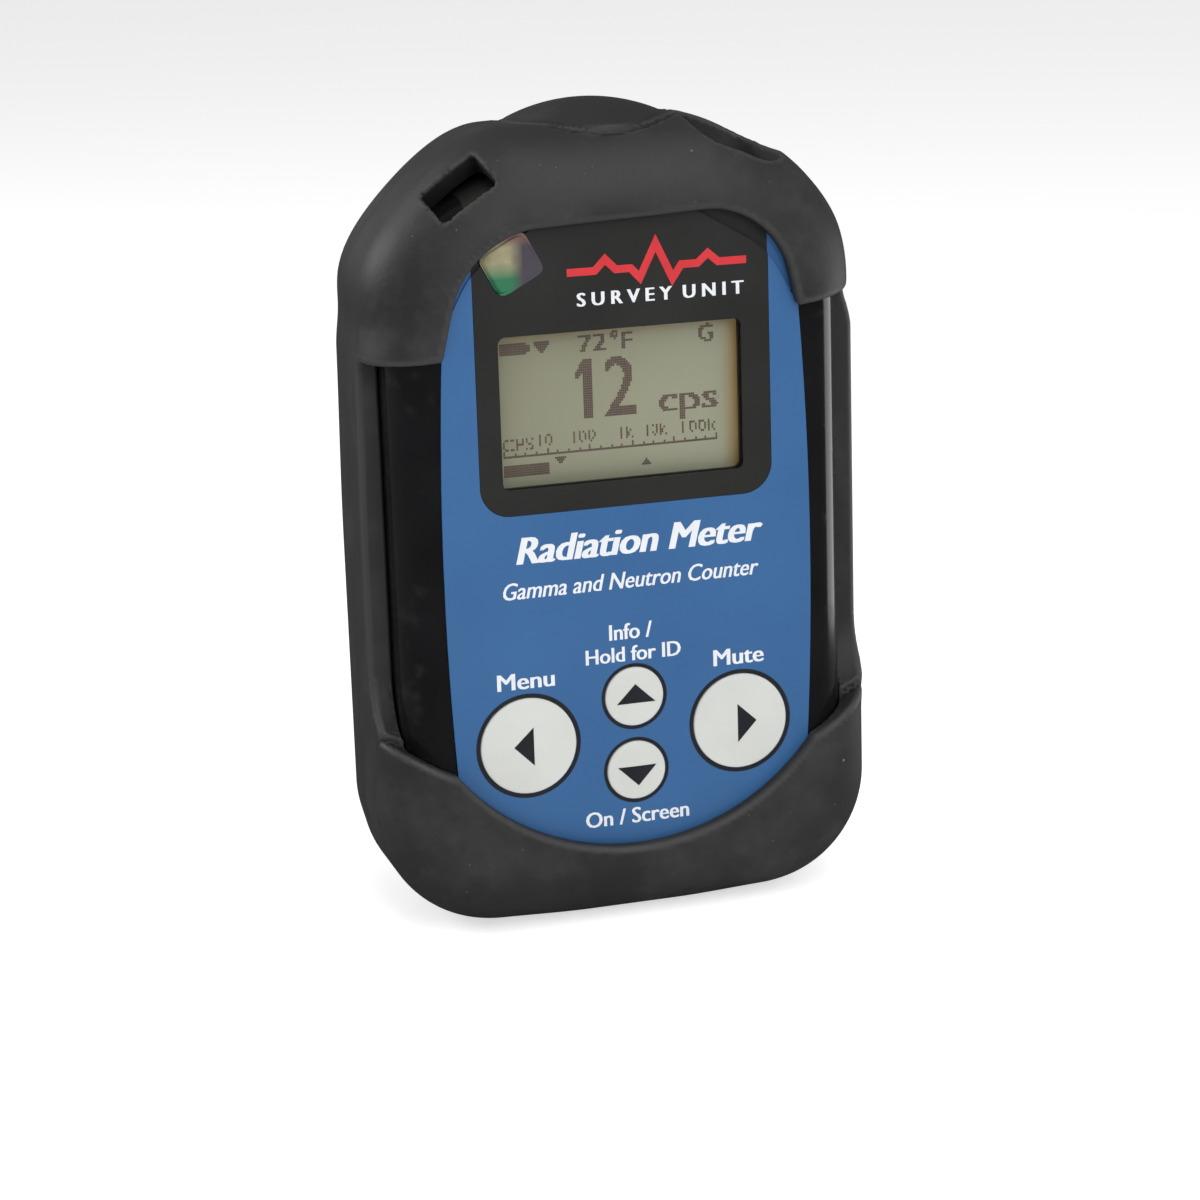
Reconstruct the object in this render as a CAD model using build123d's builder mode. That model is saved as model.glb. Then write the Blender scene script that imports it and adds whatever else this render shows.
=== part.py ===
"""Pocket radiation meter in a rubber boot, as an assembly of separate pieces.

Millimetres. X is the width, the front faces -Y and +Z is up. The origin is on the
ground under the middle of the boot, midway between its front and its back.
"""

from build123d import *
import os

os.makedirs("parts", exist_ok=True)

# ---- Driving dimensions -------------------------------------------------------------

# Case: two moulded shells that meet on a plane facing the front
case_width = 61.0
case_height = 96.5
case_front = -15.7
case_back = 15.5
case_wall = 1.8
case_parting = 5.0
case_foot_radius = 11.0
case_shoulder_radius = 17.0
case_front_radius = 5.5
case_back_radius = 8.0
gasket_width = 0.9

# Shoulders: where the top edge, the knee and the side meet, measured from the corner
shoulder_in = 16.5
shoulder_drop = 16.4
knee_in = 5.3
knee_drop = 6.6

# Rubber boot
boot_side = 3.3
boot_under = 4.0
boot_over = 4.2
boot_front_wall = 2.3
boot_back_wall = 2.5
boot_foot_radius = 15.5
boot_shoulder_radius = 20.0
boot_front_radius = 9.5
boot_back_radius = 13.0
boot_ease = 0.1
band_depth = 7.7
hood_edge_below_top = 21.5
hood_edge_slope = 0.075
cup_lip_height = 10.3
cup_lip_end = 22.5
cup_lip_margin = 0.4
cup_slope = 0.47
arch_below_top = 6.9
arch_half = 20.2
arch_foot_half = 24.4
arch_foot_drop = 3.0
arch_radius = 11.5
arch_slope = 0.04
dome_radius = 11.5
dome_height = 3.6
dome_sink = 1.0
light_slot_length = 9.0
light_slot_width = 6.6
sound_slot_length = 17.0
sound_slot_width = 14.0
sound_slot_radius = 6.0
sound_slot_forward = 3.5
back_opening_margin = 1.5
back_opening_bottom = 3.3
back_opening_height = 77.0
back_opening_radius = 6.0

# Front panel: printed overlay, black bezel and display
overlay_thickness = 0.3
overlay_top_half = 23.6
overlay_mid_half = 25.0
overlay_foot_half = 24.2
overlay_foot_height = 21.0
overlay_bottom = 7.5
overlay_mid_height = 45.0
bezel_half = 19.8
bezel_bottom = 56.3
bezel_top_gap = 6.0
bezel_radius = 4.0
view_left = -16.7
view_right = 15.95
view_bottom = 59.7
view_top = 79.6
view_radius = 1.0
lens_thickness = 1.2
lens_ledge = 1.4
lens_gap = 0.1

# Display behind the front wall
lcd_margin = 2.8
lcd_thickness = 2.2
lcd_gap = 0.2
lcd_frame_wall = 1.2
backlight_thickness = 1.8
lcd_ledge = 1.0

# Keys
big_key_radius = 6.5
small_key_radius = 4.0
key_spread = 14.65
big_key_height = 25.4
small_key_gap = 0.35
key_proud = 0.3
key_travel = 0.5
key_clearance = 0.1
key_hole_clearance = 0.12
big_key_flange = 1.1
small_key_flange = 0.9
key_flange_thickness = 1.0
key_stem_radius = 1.6
key_stem_length = 1.5
switch_gap = 0.3
switch_size = 5.0
switch_height = 1.2
connector_size = (14.0, 3.2)
plunger_radius = 1.2
plunger_height = 0.6

# Circuit boards
board_thickness = 1.2
keypad_board_thickness = 1.0
board_half = 20.2
main_board_front = -5.0
main_board_bottom = 8.5
main_board_top = 88.5
main_board_ear_top = 95.5
main_board_ear_left = -17.0
main_board_ear_right = 9.0
board_corner = 1.5
shield_size = (24.0, 30.0)
shield_corner = 1.0
shield_depth = 2.4
shield_above_foot = 24.0
chip_places = [(-11.0, 58.0), (9.0, 60.0)]
chip_size = (9.0, 7.0)
chip_height = 1.2
coil_place = (-1.0, 61.0)
coil_size = (4.0, 5.0)
coil_height = 1.8

# Case screws, driven from the back
post_spread_foot = 24.0
post_spread_top = 23.0
post_height_foot = 12.5
post_below_top = 13.5
front_boss_radius = 2.4
back_post_radius = 2.8
case_screw_radius = 1.0
case_screw_head_radius = 1.9
case_screw_head = 1.3
case_screw_length = 16.0
screw_sink = 1.8
screw_cross_width = 0.5
screw_cross_length = 2.2
thread_clearance = 0.05
shank_clearance = 0.2

# Battery bay: two AAA cells side by side, open to the back
cell_radius = 5.25
cell_length = 44.5
cell_gap = 0.4
cell_seat = 0.25
nub_length = 1.0
nub_radius = 1.9
bay_wall = 1.2
bay_bottom = 19.5
contact_room = 2.2
contact_thickness = 0.4
contact_width = 7.0
contact_margin = 1.0
spring_turns = 4
spring_radius = 3.4
spring_band = 1.4
spring_step = 0.4
bay_cover_gap = 1.0

# Battery door, its hinge, seal and screw
door_thickness = 1.8
door_gap = 0.2
door_margin = 2.5
door_corner = 1.0
door_screw_height = 12.8
hinge_above_bay = 4.1
hinge_radius = 1.25
hinge_pin_radius = 0.6
hinge_pin_reach = 2.0
hinge_half_width = 9.7
hinge_pocket = 1.9
running_clearance = 0.05
ledge_thickness = 2.5
seal_width = 0.8
seal_offset = 0.5
seal_depth = 0.8
door_screw_head_radius = 3.6
door_screw_head = 1.3
door_screw_radius = 1.5
door_screw_length = 5.6
door_screw_play = 0.35
door_boss_wall = 0.7
door_boss_depth = 1.4
insert_wall = 0.9
insert_length = 5.2
coin_slot_width = 1.5
coin_slot_depth = 0.8

# Detector: crystal and photomultiplier in an aluminium tube across the top
tube_radius = 7.3
tube_wall = 0.8
tube_length = 40.0
tube_cap = 1.5
tube_fit = 0.05
crystal_length = 15.0
pmt_length = 17.0
pmt_pin_room = 2.5
pmt_pins = 6
pmt_pin_radius = 0.4
pmt_pin_inset = 2.0
divider_margin = 0.5
divider_thickness = 1.0
cushion_width = 4.0
cushion_spread = 12.0
cushion_rim = 0.5

# Alarm light, sounder, vibrator and infrared port
light_centre = (-14.9, 88.8)
light_size = (6.2, 5.6)
light_turn = 28.0
light_radius = 1.0
light_proud = 0.15
light_flange = 0.9
light_flange_thickness = 0.8
led_gap = 0.2
led_height = 0.9
led_board_thickness = 0.8
led_spread = 2.8
led_size = (1.8, 2.2)
led_board_size = (7.5, 6.5)
led_riser_size = (5.0, 3.0)
sounder_radius = 5.2
sounder_thickness = 2.8
sounder_gap = 1.6
sounder_port_radius = 0.9
sounder_port_depth = 0.8
grille_slots = 5
grille_pitch = 1.9
grille_slot_width = 0.9
grille_slot_length = 8.0
motor_radius = 3.0
motor_length = 11.0
motor_rim = 0.9
motor_left = -13.0
motor_shaft_radius = 0.5
weight_radius = 2.5
weight_length = 3.5
weight_gap = 0.6
weight_cut = (5.5, 3.25)
cradle_inset = 2.0
cradle_wall = 1.2
ir_height = 46.0
ir_gap = 0.55
ir_size = (4.0, 9.0)
ir_corner = 1.0
ir_depth = 3.0
ir_fit = 0.05

# ---- Places worked out from them ----------------------------------------------------

case_half = case_width / 2
case_bottom = boot_under
case_top = case_bottom + case_height
inner_front = case_front + case_wall
inner_back = case_back - case_wall
panel_front = case_front - overlay_thickness
boot_half = case_half + boot_side
boot_top = case_top + boot_over
boot_front = case_front - boot_front_wall
boot_back = case_back + boot_back_wall
band_front = case_front + band_depth
hood_edge = case_top - hood_edge_below_top
arch_top = case_top - arch_below_top
main_board_back = main_board_front + board_thickness
mid_depth = (main_board_back + inner_back) / 2
lens_front = case_front
lcd_front = inner_front + lcd_gap
lcd_back = lcd_front + lcd_thickness
key_flange_front = inner_front + key_clearance
key_stem_end = key_flange_front + key_flange_thickness + key_stem_length
plunger_front = key_stem_end + key_travel + switch_gap
switch_front = plunger_front + plunger_height
keypad_front = switch_front + switch_height
keypad_back = keypad_front + keypad_board_thickness
bay_half = 2 * cell_radius + cell_gap / 2 + cell_seat
bay_top = bay_bottom + contact_room + cell_length + contact_thickness + cell_seat
door_inner = case_back - door_thickness
bay_floor = door_inner - bay_cover_gap - 2 * cell_radius - cell_seat
cell_depth = bay_floor + cell_seat + cell_radius
cell_foot = bay_bottom + contact_room
door_half = bay_half + door_margin
door_boss_radius = door_screw_head_radius + door_boss_wall
door_bottom = door_screw_height - door_boss_radius - door_gap
hinge_height = bay_top + hinge_above_bay
hinge_depth = case_back - hinge_radius
hinge_pocket_half = hinge_half_width + door_gap
small_key_rise = small_key_radius + small_key_flange + small_key_gap / 2
keys = {
    "menu_key": (-key_spread, big_key_height, big_key_radius, big_key_flange),
    "mute_key": (key_spread, big_key_height, big_key_radius, big_key_flange),
    "up_key": (0, big_key_height + small_key_rise, small_key_radius, small_key_flange),
    "down_key": (0, big_key_height - small_key_rise, small_key_radius, small_key_flange),
}
key_centres = [(x, z) for x, z, radius, flange in keys.values()]
ledge_half = door_half + door_gap + case_wall
ledge_bottom = door_bottom - door_gap - case_wall / 2
ledge_top = hinge_height + hinge_pocket + case_wall / 2
ir_centre = (-(ledge_half + ir_gap + ir_size[0] / 2), ir_height)
back_opening_half = -ir_centre[0] + ir_size[0] / 2 + back_opening_margin
insert_radius = door_screw_radius + door_screw_play + insert_wall
insert_back = door_inner - door_boss_depth - door_gap
seal_outer_half = bay_half + seal_offset + seal_width
cushion_half_height = tube_radius + cushion_rim
tube_height = ledge_top + lens_gap + cushion_half_height
cradle_half_height = motor_radius + motor_rim
motor_height = tube_height + cushion_half_height + lens_gap + cradle_half_height
post_places = [
    (-post_spread_foot, post_height_foot),
    (post_spread_foot, post_height_foot),
    (-post_spread_top, case_top - post_below_top),
    (post_spread_top, case_top - post_below_top),
]
shoulder_middle = Vector(
    case_half - (shoulder_in + knee_in) / 2, 0, case_top - knee_drop / 2
)
shoulder_along = Vector(shoulder_in - knee_in, 0, -knee_drop).normalized()
shoulder_out = Vector(knee_drop, 0, shoulder_in - knee_in).normalized()


def front_plane(depth):
    """Sketch plane at y = depth, seen from the front: its own X and Y are X and Z."""
    return Plane.XZ.offset(-depth)


def shoulder_plane(lift, side=1):
    """Plane on a shoulder of the case, lift above its surface, facing outwards."""
    origin = shoulder_middle + shoulder_out * lift
    return Plane(
        origin=(side * origin.X, 0, origin.Z),
        x_dir=(side * shoulder_along.X, 0, shoulder_along.Z),
        z_dir=(side * shoulder_out.X, 0, shoulder_out.Z),
    )


def body_outline(half, bottom, top, foot_radius, shoulder_radius):
    """Front outline: flat foot with round corners and shoulders of three bends."""
    right = [
        (half, bottom),
        (half, top - shoulder_drop),
        (half - knee_in, top - knee_drop),
        (half - shoulder_in, top),
    ]
    left = [(-x, z) for x, z in reversed(right)]
    radii = [foot_radius] + [shoulder_radius] * 6 + [foot_radius]
    with BuildSketch() as outline:
        with BuildLine():
            FilletPolyline(*right, *left, radius=radii, close=True)
        make_face()
    return outline.sketch_local


def save(piece, name):
    piece.part.label = name
    export_step(piece.part, f"parts/{name}.step")


# ---- Case shells --------------------------------------------------------------------


def case_solid(grow=0.0, front_grow=0.0):
    """The closed case with rounded front and back edges, grown all round."""
    with BuildPart() as solid:
        with BuildSketch(front_plane(case_front - front_grow)):
            outline = body_outline(
                case_half + grow,
                case_bottom - grow,
                case_top + grow,
                case_foot_radius + grow,
                case_shoulder_radius + grow,
            )
            add(outline)
        extrude(amount=case_front - front_grow - case_back - grow)
        front_face = solid.faces().sort_by(Axis.Y)[0]
        fillet(front_face.edges(), radius=case_front_radius + grow)
        back_face = solid.faces().sort_by(Axis.Y)[-1]
        fillet(back_face.edges(), radius=case_back_radius + grow)
    return solid.part


def gasket_ring():
    """Flat ring in the middle of the case wall."""
    inset = (case_wall - gasket_width) / 2
    with BuildSketch() as ring:
        outline = body_outline(
            case_half, case_bottom, case_top, case_foot_radius, case_shoulder_radius
        )
        add(outline)
        offset(amount=-inset, mode=Mode.REPLACE)
        offset(amount=-gasket_width, mode=Mode.SUBTRACT)
    return ring.sketch_local


case_body = case_solid()
case_room = case_solid(-case_wall, -case_wall)
parting_plane = Plane.XZ.offset(-case_parting)

with BuildPart() as front_shell:
    add(case_body)
    split(bisect_by=parting_plane, keep=Keep.TOP)
    add(case_room, mode=Mode.SUBTRACT)
    # bosses for the case screws
    with BuildSketch(front_plane(inner_front)):
        with Locations(*post_places):
            Circle(front_boss_radius)
    extrude(amount=inner_front - case_parting)
    with BuildSketch(front_plane(case_parting)):
        with Locations(*post_places):
            Circle(case_screw_radius + thread_clearance)
    extrude(amount=case_screw_length, mode=Mode.SUBTRACT)
    # display opening, with a ledge that the lens is glued to
    view_width = view_right - view_left
    view_height = view_top - view_bottom
    view_centre = ((view_left + view_right) / 2, (view_bottom + view_top) / 2)
    with BuildSketch(front_plane(case_front)):
        with Locations(view_centre):
            RectangleRounded(
                view_width + 2 * (lens_ledge + lens_gap),
                view_height + 2 * (lens_ledge + lens_gap),
                view_radius,
            )
    extrude(amount=-lens_thickness - lens_gap, mode=Mode.SUBTRACT)
    with BuildSketch(front_plane(case_front)):
        with Locations(view_centre):
            RectangleRounded(view_width + lens_gap, view_height + lens_gap, view_radius)
    extrude(amount=-case_wall, mode=Mode.SUBTRACT)
    # key holes
    with BuildSketch(front_plane(case_front)):
        for x, z, radius, flange in keys.values():
            with Locations((x, z)):
                Circle(radius + key_hole_clearance)
    extrude(amount=-case_wall, mode=Mode.SUBTRACT)
    # alarm light hole
    with BuildSketch(front_plane(case_front)):
        with Locations(Location(light_centre, light_turn)):
            RectangleRounded(
                light_size[0] + 2 * lens_gap, light_size[1] + 2 * lens_gap, light_radius
            )
    extrude(amount=-case_wall, mode=Mode.SUBTRACT)
    # sounder grille through the right shoulder
    with BuildSketch(shoulder_plane(case_wall)):
        with GridLocations(grille_pitch, 0, grille_slots, 1):
            SlotOverall(grille_slot_length, grille_slot_width, rotation=90)
    extrude(amount=-3 * case_wall, mode=Mode.SUBTRACT)
    add(case_body, mode=Mode.INTERSECT)
save(front_shell, "front_shell")

with BuildPart() as rear_shell:
    add(case_body)
    split(bisect_by=parting_plane, keep=Keep.BOTTOM)
    add(case_room, mode=Mode.SUBTRACT)
    # screw posts
    with BuildSketch(front_plane(inner_back)):
        with Locations(*post_places):
            Circle(back_post_radius)
    extrude(amount=inner_back - case_parting)
    # thick ledge round the battery bay, and the bay's own walls
    with BuildSketch(front_plane(door_inner)):
        with Locations((0, (ledge_bottom + ledge_top) / 2)):
            Rectangle(2 * ledge_half, ledge_top - ledge_bottom)
    extrude(amount=ledge_thickness)
    with BuildSketch(front_plane(door_inner)):
        with Locations((0, (bay_bottom + bay_top) / 2)):
            Rectangle(2 * (bay_half + bay_wall), bay_top - bay_bottom + 2 * bay_wall)
    extrude(amount=door_inner - bay_floor + bay_wall)
    # post for the brass insert
    with BuildSketch(front_plane(door_inner)):
        with Locations((0, door_screw_height)):
            Circle(insert_radius + insert_wall)
    extrude(amount=door_boss_depth + door_gap + insert_length + insert_wall)
    # screw holes and head recesses
    with BuildSketch(front_plane(case_back)):
        with Locations(*post_places):
            Circle(case_screw_radius + shank_clearance)
    extrude(amount=case_back - case_parting, mode=Mode.SUBTRACT)
    with BuildSketch(front_plane(case_back)):
        with Locations(*post_places):
            Circle(case_screw_head_radius + shank_clearance)
    extrude(amount=case_screw_head + screw_sink, mode=Mode.SUBTRACT)
    # battery bay
    with BuildSketch(front_plane(case_back)):
        with Locations((0, (bay_bottom + bay_top) / 2)):
            Rectangle(2 * bay_half, bay_top - bay_bottom)
    extrude(amount=case_back - bay_floor, mode=Mode.SUBTRACT)
    # seat of the battery door
    with BuildSketch(front_plane(case_back)):
        with Locations((0, (door_bottom - door_gap + hinge_height) / 2)):
            Rectangle(
                2 * (door_half + door_gap), hinge_height - door_bottom + door_gap
            )
    extrude(amount=door_thickness, mode=Mode.SUBTRACT)
    # hinge pocket and pin bore
    with BuildSketch(front_plane(case_back)):
        with Locations((0, hinge_height)):
            Rectangle(2 * hinge_pocket_half, 2 * hinge_pocket)
    extrude(amount=2 * hinge_radius + door_gap, mode=Mode.SUBTRACT)
    with BuildSketch(Plane.YZ.offset(-hinge_pocket_half - hinge_pin_reach)):
        with Locations((hinge_depth, hinge_height)):
            Circle(hinge_pin_radius)
    extrude(amount=2 * (hinge_pocket_half + hinge_pin_reach), mode=Mode.SUBTRACT)
    # groove of the door seal
    with BuildSketch(front_plane(door_inner)):
        with Locations((0, (bay_bottom + bay_top) / 2)):
            Rectangle(
                2 * seal_outer_half,
                bay_top - bay_bottom + 2 * (seal_offset + seal_width),
            )
            Rectangle(
                2 * (bay_half + seal_offset),
                bay_top - bay_bottom + 2 * seal_offset,
                mode=Mode.SUBTRACT,
            )
    extrude(amount=seal_depth, mode=Mode.SUBTRACT)
    # pocket for the door's boss, and the insert's hole
    with BuildSketch(front_plane(door_inner)):
        with Locations((0, door_screw_height)):
            Circle(door_boss_radius + door_gap)
    extrude(amount=door_boss_depth + door_gap, mode=Mode.SUBTRACT)
    with BuildSketch(front_plane(insert_back)):
        with Locations((0, door_screw_height)):
            Circle(insert_radius + ir_fit)
    extrude(amount=insert_length, mode=Mode.SUBTRACT)
    # infrared window
    with BuildSketch(front_plane(case_back)):
        with Locations(ir_centre):
            RectangleRounded(ir_size[0] + 2 * ir_fit, ir_size[1] + 2 * ir_fit, ir_corner)
    extrude(amount=case_wall, mode=Mode.SUBTRACT)
    # groove of the case gasket
    with BuildSketch(parting_plane):
        add(gasket_ring())
    extrude(amount=-gasket_width, mode=Mode.SUBTRACT)
    add(case_body, mode=Mode.INTERSECT)
save(rear_shell, "rear_shell")

with BuildPart() as case_gasket:
    with BuildSketch(parting_plane):
        add(gasket_ring())
    extrude(amount=-gasket_width)
save(case_gasket, "case_gasket")

with BuildPart() as case_screws:
    with BuildSketch(front_plane(case_back - screw_sink)):
        with Locations(*post_places):
            Circle(case_screw_head_radius)
    extrude(amount=case_screw_head)
    with BuildSketch(front_plane(case_back - screw_sink - case_screw_head)):
        with Locations(*post_places):
            Circle(case_screw_radius)
    extrude(amount=case_screw_length)
    with BuildSketch(front_plane(case_back - screw_sink)):
        for turn in (0, 90):
            with Locations(*post_places):
                SlotOverall(screw_cross_length, screw_cross_width, rotation=turn)
    extrude(amount=case_screw_head / 2, mode=Mode.SUBTRACT)
save(case_screws, "case_screws")

# ---- Rubber boot --------------------------------------------------------------------

# Front opening between the hood and the cup, and the two side windows, as one cutter
far_out = 2 * boot_half
lip_half = overlay_foot_half + cup_lip_margin
cup_edge_end = cup_lip_end + cup_slope * (far_out - lip_half)
arch_foot = hood_edge - arch_foot_drop
with BuildPart() as boot_opening:
    with BuildSketch(front_plane(boot_front - boot_ease)):
        with BuildLine():
            cup_lip = ThreePointArc(
                (-lip_half, cup_lip_end),
                (0, cup_lip_height),
                (lip_half, cup_lip_end),
            )
            Polyline(
                cup_lip @ 1,
                (far_out, cup_edge_end),
                (far_out, hood_edge + far_out * hood_edge_slope),
                (-far_out, hood_edge - far_out * hood_edge_slope),
                (-far_out, cup_edge_end),
                cup_lip @ 0,
            )
        make_face()
    extrude(amount=boot_front - boot_ease - band_front)
    with BuildSketch(front_plane(boot_front - boot_ease)):
        with BuildLine():
            FilletPolyline(
                (arch_foot_half, arch_foot),
                (arch_half, arch_top + arch_half * arch_slope),
                (-arch_half, arch_top - arch_half * arch_slope),
                (-arch_foot_half, arch_foot),
                radius=arch_radius,
            )
            Line((-arch_foot_half, arch_foot), (arch_foot_half, arch_foot))
        make_face()
    extrude(amount=boot_front - boot_ease - band_front)

with BuildPart() as rubber_boot:
    with BuildSketch(front_plane(boot_front)):
        add(body_outline(boot_half, 0, boot_top, boot_foot_radius, boot_shoulder_radius))
    extrude(amount=boot_front - boot_back)
    front_face = rubber_boot.faces().sort_by(Axis.Y)[0]
    fillet(front_face.edges(), radius=boot_front_radius)
    back_face = rubber_boot.faces().sort_by(Axis.Y)[-1]
    fillet(back_face.edges(), radius=boot_back_radius)
    # low dome on the top: an arc through its rim, the height over half its radius, and its crown
    dome_curve = (dome_radius**2 + dome_height**2) / (2 * dome_height)
    dome_rim = boot_top - dome_sink
    dome_crown = dome_rim + dome_height
    dome_shoulder = dome_crown - dome_curve + (dome_curve**2 - dome_radius**2 / 4) ** 0.5
    with BuildSketch(Plane.XZ):
        with BuildLine():
            Line((0, dome_rim), (dome_radius, dome_rim))
            ThreePointArc(
                (dome_radius, dome_rim),
                (dome_radius / 2, dome_shoulder),
                (0, dome_crown),
            )
            Line((0, dome_crown), (0, dome_rim))
        make_face()
    revolve(axis=Axis.Z)
    add(case_solid(boot_ease, overlay_thickness + boot_ease), mode=Mode.SUBTRACT)
    add(boot_opening.part, mode=Mode.SUBTRACT)
    # slot through the left shoulder's front edge
    slot_plane = shoulder_plane(0, side=-1)
    slot_direction = (slot_plane.z_dir + Vector(0, -1, 0)).normalized()
    slot_mouth = Plane(
        origin=(slot_plane.origin.X, case_front + case_wall, slot_plane.origin.Z),
        x_dir=slot_plane.x_dir,
        z_dir=slot_direction,
    )
    with BuildSketch(slot_mouth):
        Rectangle(light_slot_length, light_slot_width)
    extrude(amount=2 * boot_over, both=True, mode=Mode.SUBTRACT)
    # sound slot over the grille on the right shoulder
    with BuildSketch(shoulder_plane(0)):
        with Locations((0, -sound_slot_forward)):
            RectangleRounded(sound_slot_length, sound_slot_width, sound_slot_radius)
    extrude(amount=2 * boot_over, both=True, mode=Mode.SUBTRACT)
    # back opening over the battery door
    with BuildSketch(front_plane(boot_back)):
        with Locations((0, case_bottom + back_opening_bottom + back_opening_height / 2)):
            RectangleRounded(
                2 * back_opening_half, back_opening_height, back_opening_radius
            )
    extrude(amount=boot_back_wall + case_back_radius, mode=Mode.SUBTRACT)
save(rubber_boot, "rubber_boot")

# ---- Front panel --------------------------------------------------------------------

bezel_top = case_top - bezel_top_gap


def bezel_outline(grow=0.0):
    """Straight sides that run up under the hood, with rounded lower corners."""
    half = bezel_half + grow
    bottom = bezel_bottom - grow
    with BuildSketch() as outline:
        with BuildLine():
            FilletPolyline(
                (half, bezel_top + grow),
                (half, bottom),
                (-half, bottom),
                (-half, bezel_top + grow),
                radius=bezel_radius,
            )
            Line((-half, bezel_top + grow), (half, bezel_top + grow))
        make_face()
    return outline.sketch_local


def flat_front():
    """The flat part of the case's front, inside its rounded edge."""
    return body_outline(
        case_half - case_front_radius,
        case_bottom + case_front_radius,
        case_top - case_front_radius,
        case_foot_radius - case_front_radius,
        case_shoulder_radius - case_front_radius,
    )


with BuildPart() as front_overlay:
    with BuildSketch(front_plane(panel_front)):
        with BuildLine():
            side = ThreePointArc(
                (overlay_foot_half, overlay_foot_height),
                (overlay_mid_half, overlay_mid_height),
                (overlay_top_half, case_top - shoulder_drop),
            )
            foot = ThreePointArc(
                (-overlay_foot_half, overlay_foot_height),
                (0, overlay_bottom),
                (overlay_foot_half, overlay_foot_height),
            )
            side_top = side @ 1
            Polyline(
                side_top,
                (bezel_half, bezel_top),
                (-bezel_half, bezel_top),
                (-side_top.X, side_top.Y),
            )
            mirror(side, about=Plane.YZ)
        make_face()
        add(flat_front(), mode=Mode.INTERSECT)
    extrude(amount=-overlay_thickness)
    with BuildSketch(front_plane(panel_front)):
        add(bezel_outline())
    extrude(amount=-overlay_thickness, mode=Mode.SUBTRACT)
    with BuildSketch(front_plane(panel_front)):
        for x, z, radius, flange in keys.values():
            with Locations((x, z)):
                Circle(radius + key_hole_clearance)
    extrude(amount=-overlay_thickness, mode=Mode.SUBTRACT)
save(front_overlay, "front_overlay")

with BuildPart() as display_bezel:
    with BuildSketch(front_plane(panel_front)):
        add(bezel_outline(-lens_gap / 2))
        add(flat_front(), mode=Mode.INTERSECT)
        with Locations(view_centre):
            RectangleRounded(view_width, view_height, view_radius, mode=Mode.SUBTRACT)
        with Locations(Location(light_centre, light_turn)):
            RectangleRounded(
                light_size[0] + 2 * lens_gap,
                light_size[1] + 2 * lens_gap,
                light_radius,
                mode=Mode.SUBTRACT,
            )
    extrude(amount=-overlay_thickness)
save(display_bezel, "display_bezel")

with BuildPart() as display_lens:
    with BuildSketch(front_plane(lens_front)):
        with Locations(view_centre):
            RectangleRounded(
                view_width + 2 * lens_ledge, view_height + 2 * lens_ledge, view_radius
            )
    extrude(amount=-lens_thickness)
save(display_lens, "display_lens")

lcd_width = view_width + 2 * lcd_margin
lcd_height = view_height + 2 * lcd_margin
with BuildPart() as lcd_module:
    with BuildSketch(front_plane(lcd_front)):
        with Locations(view_centre):
            Rectangle(lcd_width, lcd_height)
    extrude(amount=-lcd_thickness)
save(lcd_module, "lcd_module")

with BuildPart() as backlight_panel:
    with BuildSketch(front_plane(lcd_back)):
        with Locations(view_centre):
            Rectangle(lcd_width - 2 * lcd_ledge, lcd_height - 2 * lcd_ledge)
    extrude(amount=-backlight_thickness)
save(backlight_panel, "backlight_panel")

with BuildPart() as lcd_frame:
    with BuildSketch(front_plane(lcd_front)):
        with Locations(view_centre):
            Rectangle(
                lcd_width + 2 * (lcd_frame_wall + lens_gap),
                lcd_height + 2 * (lcd_frame_wall + lens_gap),
            )
    extrude(amount=lcd_front - main_board_front)
    with BuildSketch(front_plane(lcd_front)):
        with Locations(view_centre):
            Rectangle(lcd_width + 2 * lens_gap, lcd_height + 2 * lens_gap)
    extrude(amount=-lcd_thickness, mode=Mode.SUBTRACT)
    with BuildSketch(front_plane(lcd_back)):
        with Locations(view_centre):
            Rectangle(
                lcd_width - 2 * lcd_ledge + 2 * lens_gap,
                lcd_height - 2 * lcd_ledge + 2 * lens_gap,
            )
    extrude(amount=-backlight_thickness, mode=Mode.SUBTRACT)
    # the back of the frame is open, apart from a rim and a cross of ribs
    with BuildSketch(front_plane(lcd_back + backlight_thickness + lcd_frame_wall)):
        with Locations(view_centre):
            with GridLocations(lcd_width / 2, lcd_height / 2, 2, 2):
                Rectangle(
                    lcd_width / 2 - 2 * lcd_frame_wall,
                    lcd_height / 2 - 2 * lcd_frame_wall,
                )
    extrude(amount=-(main_board_front - lcd_back), mode=Mode.SUBTRACT)
save(lcd_frame, "lcd_frame")

# ---- Keys and their boards ----------------------------------------------------------

key_front = panel_front - key_proud
for name, (x, z, radius, flange) in keys.items():
    with BuildPart() as key:
        with BuildSketch(front_plane(key_front)):
            with Locations((x, z)):
                Circle(radius)
        extrude(amount=key_front - key_flange_front)
        rim = key.faces().sort_by(Axis.Y)[0].edges()
        fillet(rim, radius=key_proud)
        with BuildSketch(front_plane(key_flange_front)):
            with Locations((x, z)):
                Circle(radius + flange)
        extrude(amount=-key_flange_thickness)
        with BuildSketch(front_plane(key_flange_front + key_flange_thickness)):
            with Locations((x, z)):
                Circle(key_stem_radius)
        extrude(amount=-key_stem_length)
    save(key, name)

with BuildPart() as key_switches:
    with BuildSketch(front_plane(switch_front)):
        with Locations(*key_centres):
            Rectangle(switch_size, switch_size)
    extrude(amount=-switch_height)
    with BuildSketch(front_plane(plunger_front)):
        with Locations(*key_centres):
            Circle(plunger_radius)
    extrude(amount=-plunger_height)
save(key_switches, "key_switches")

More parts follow.
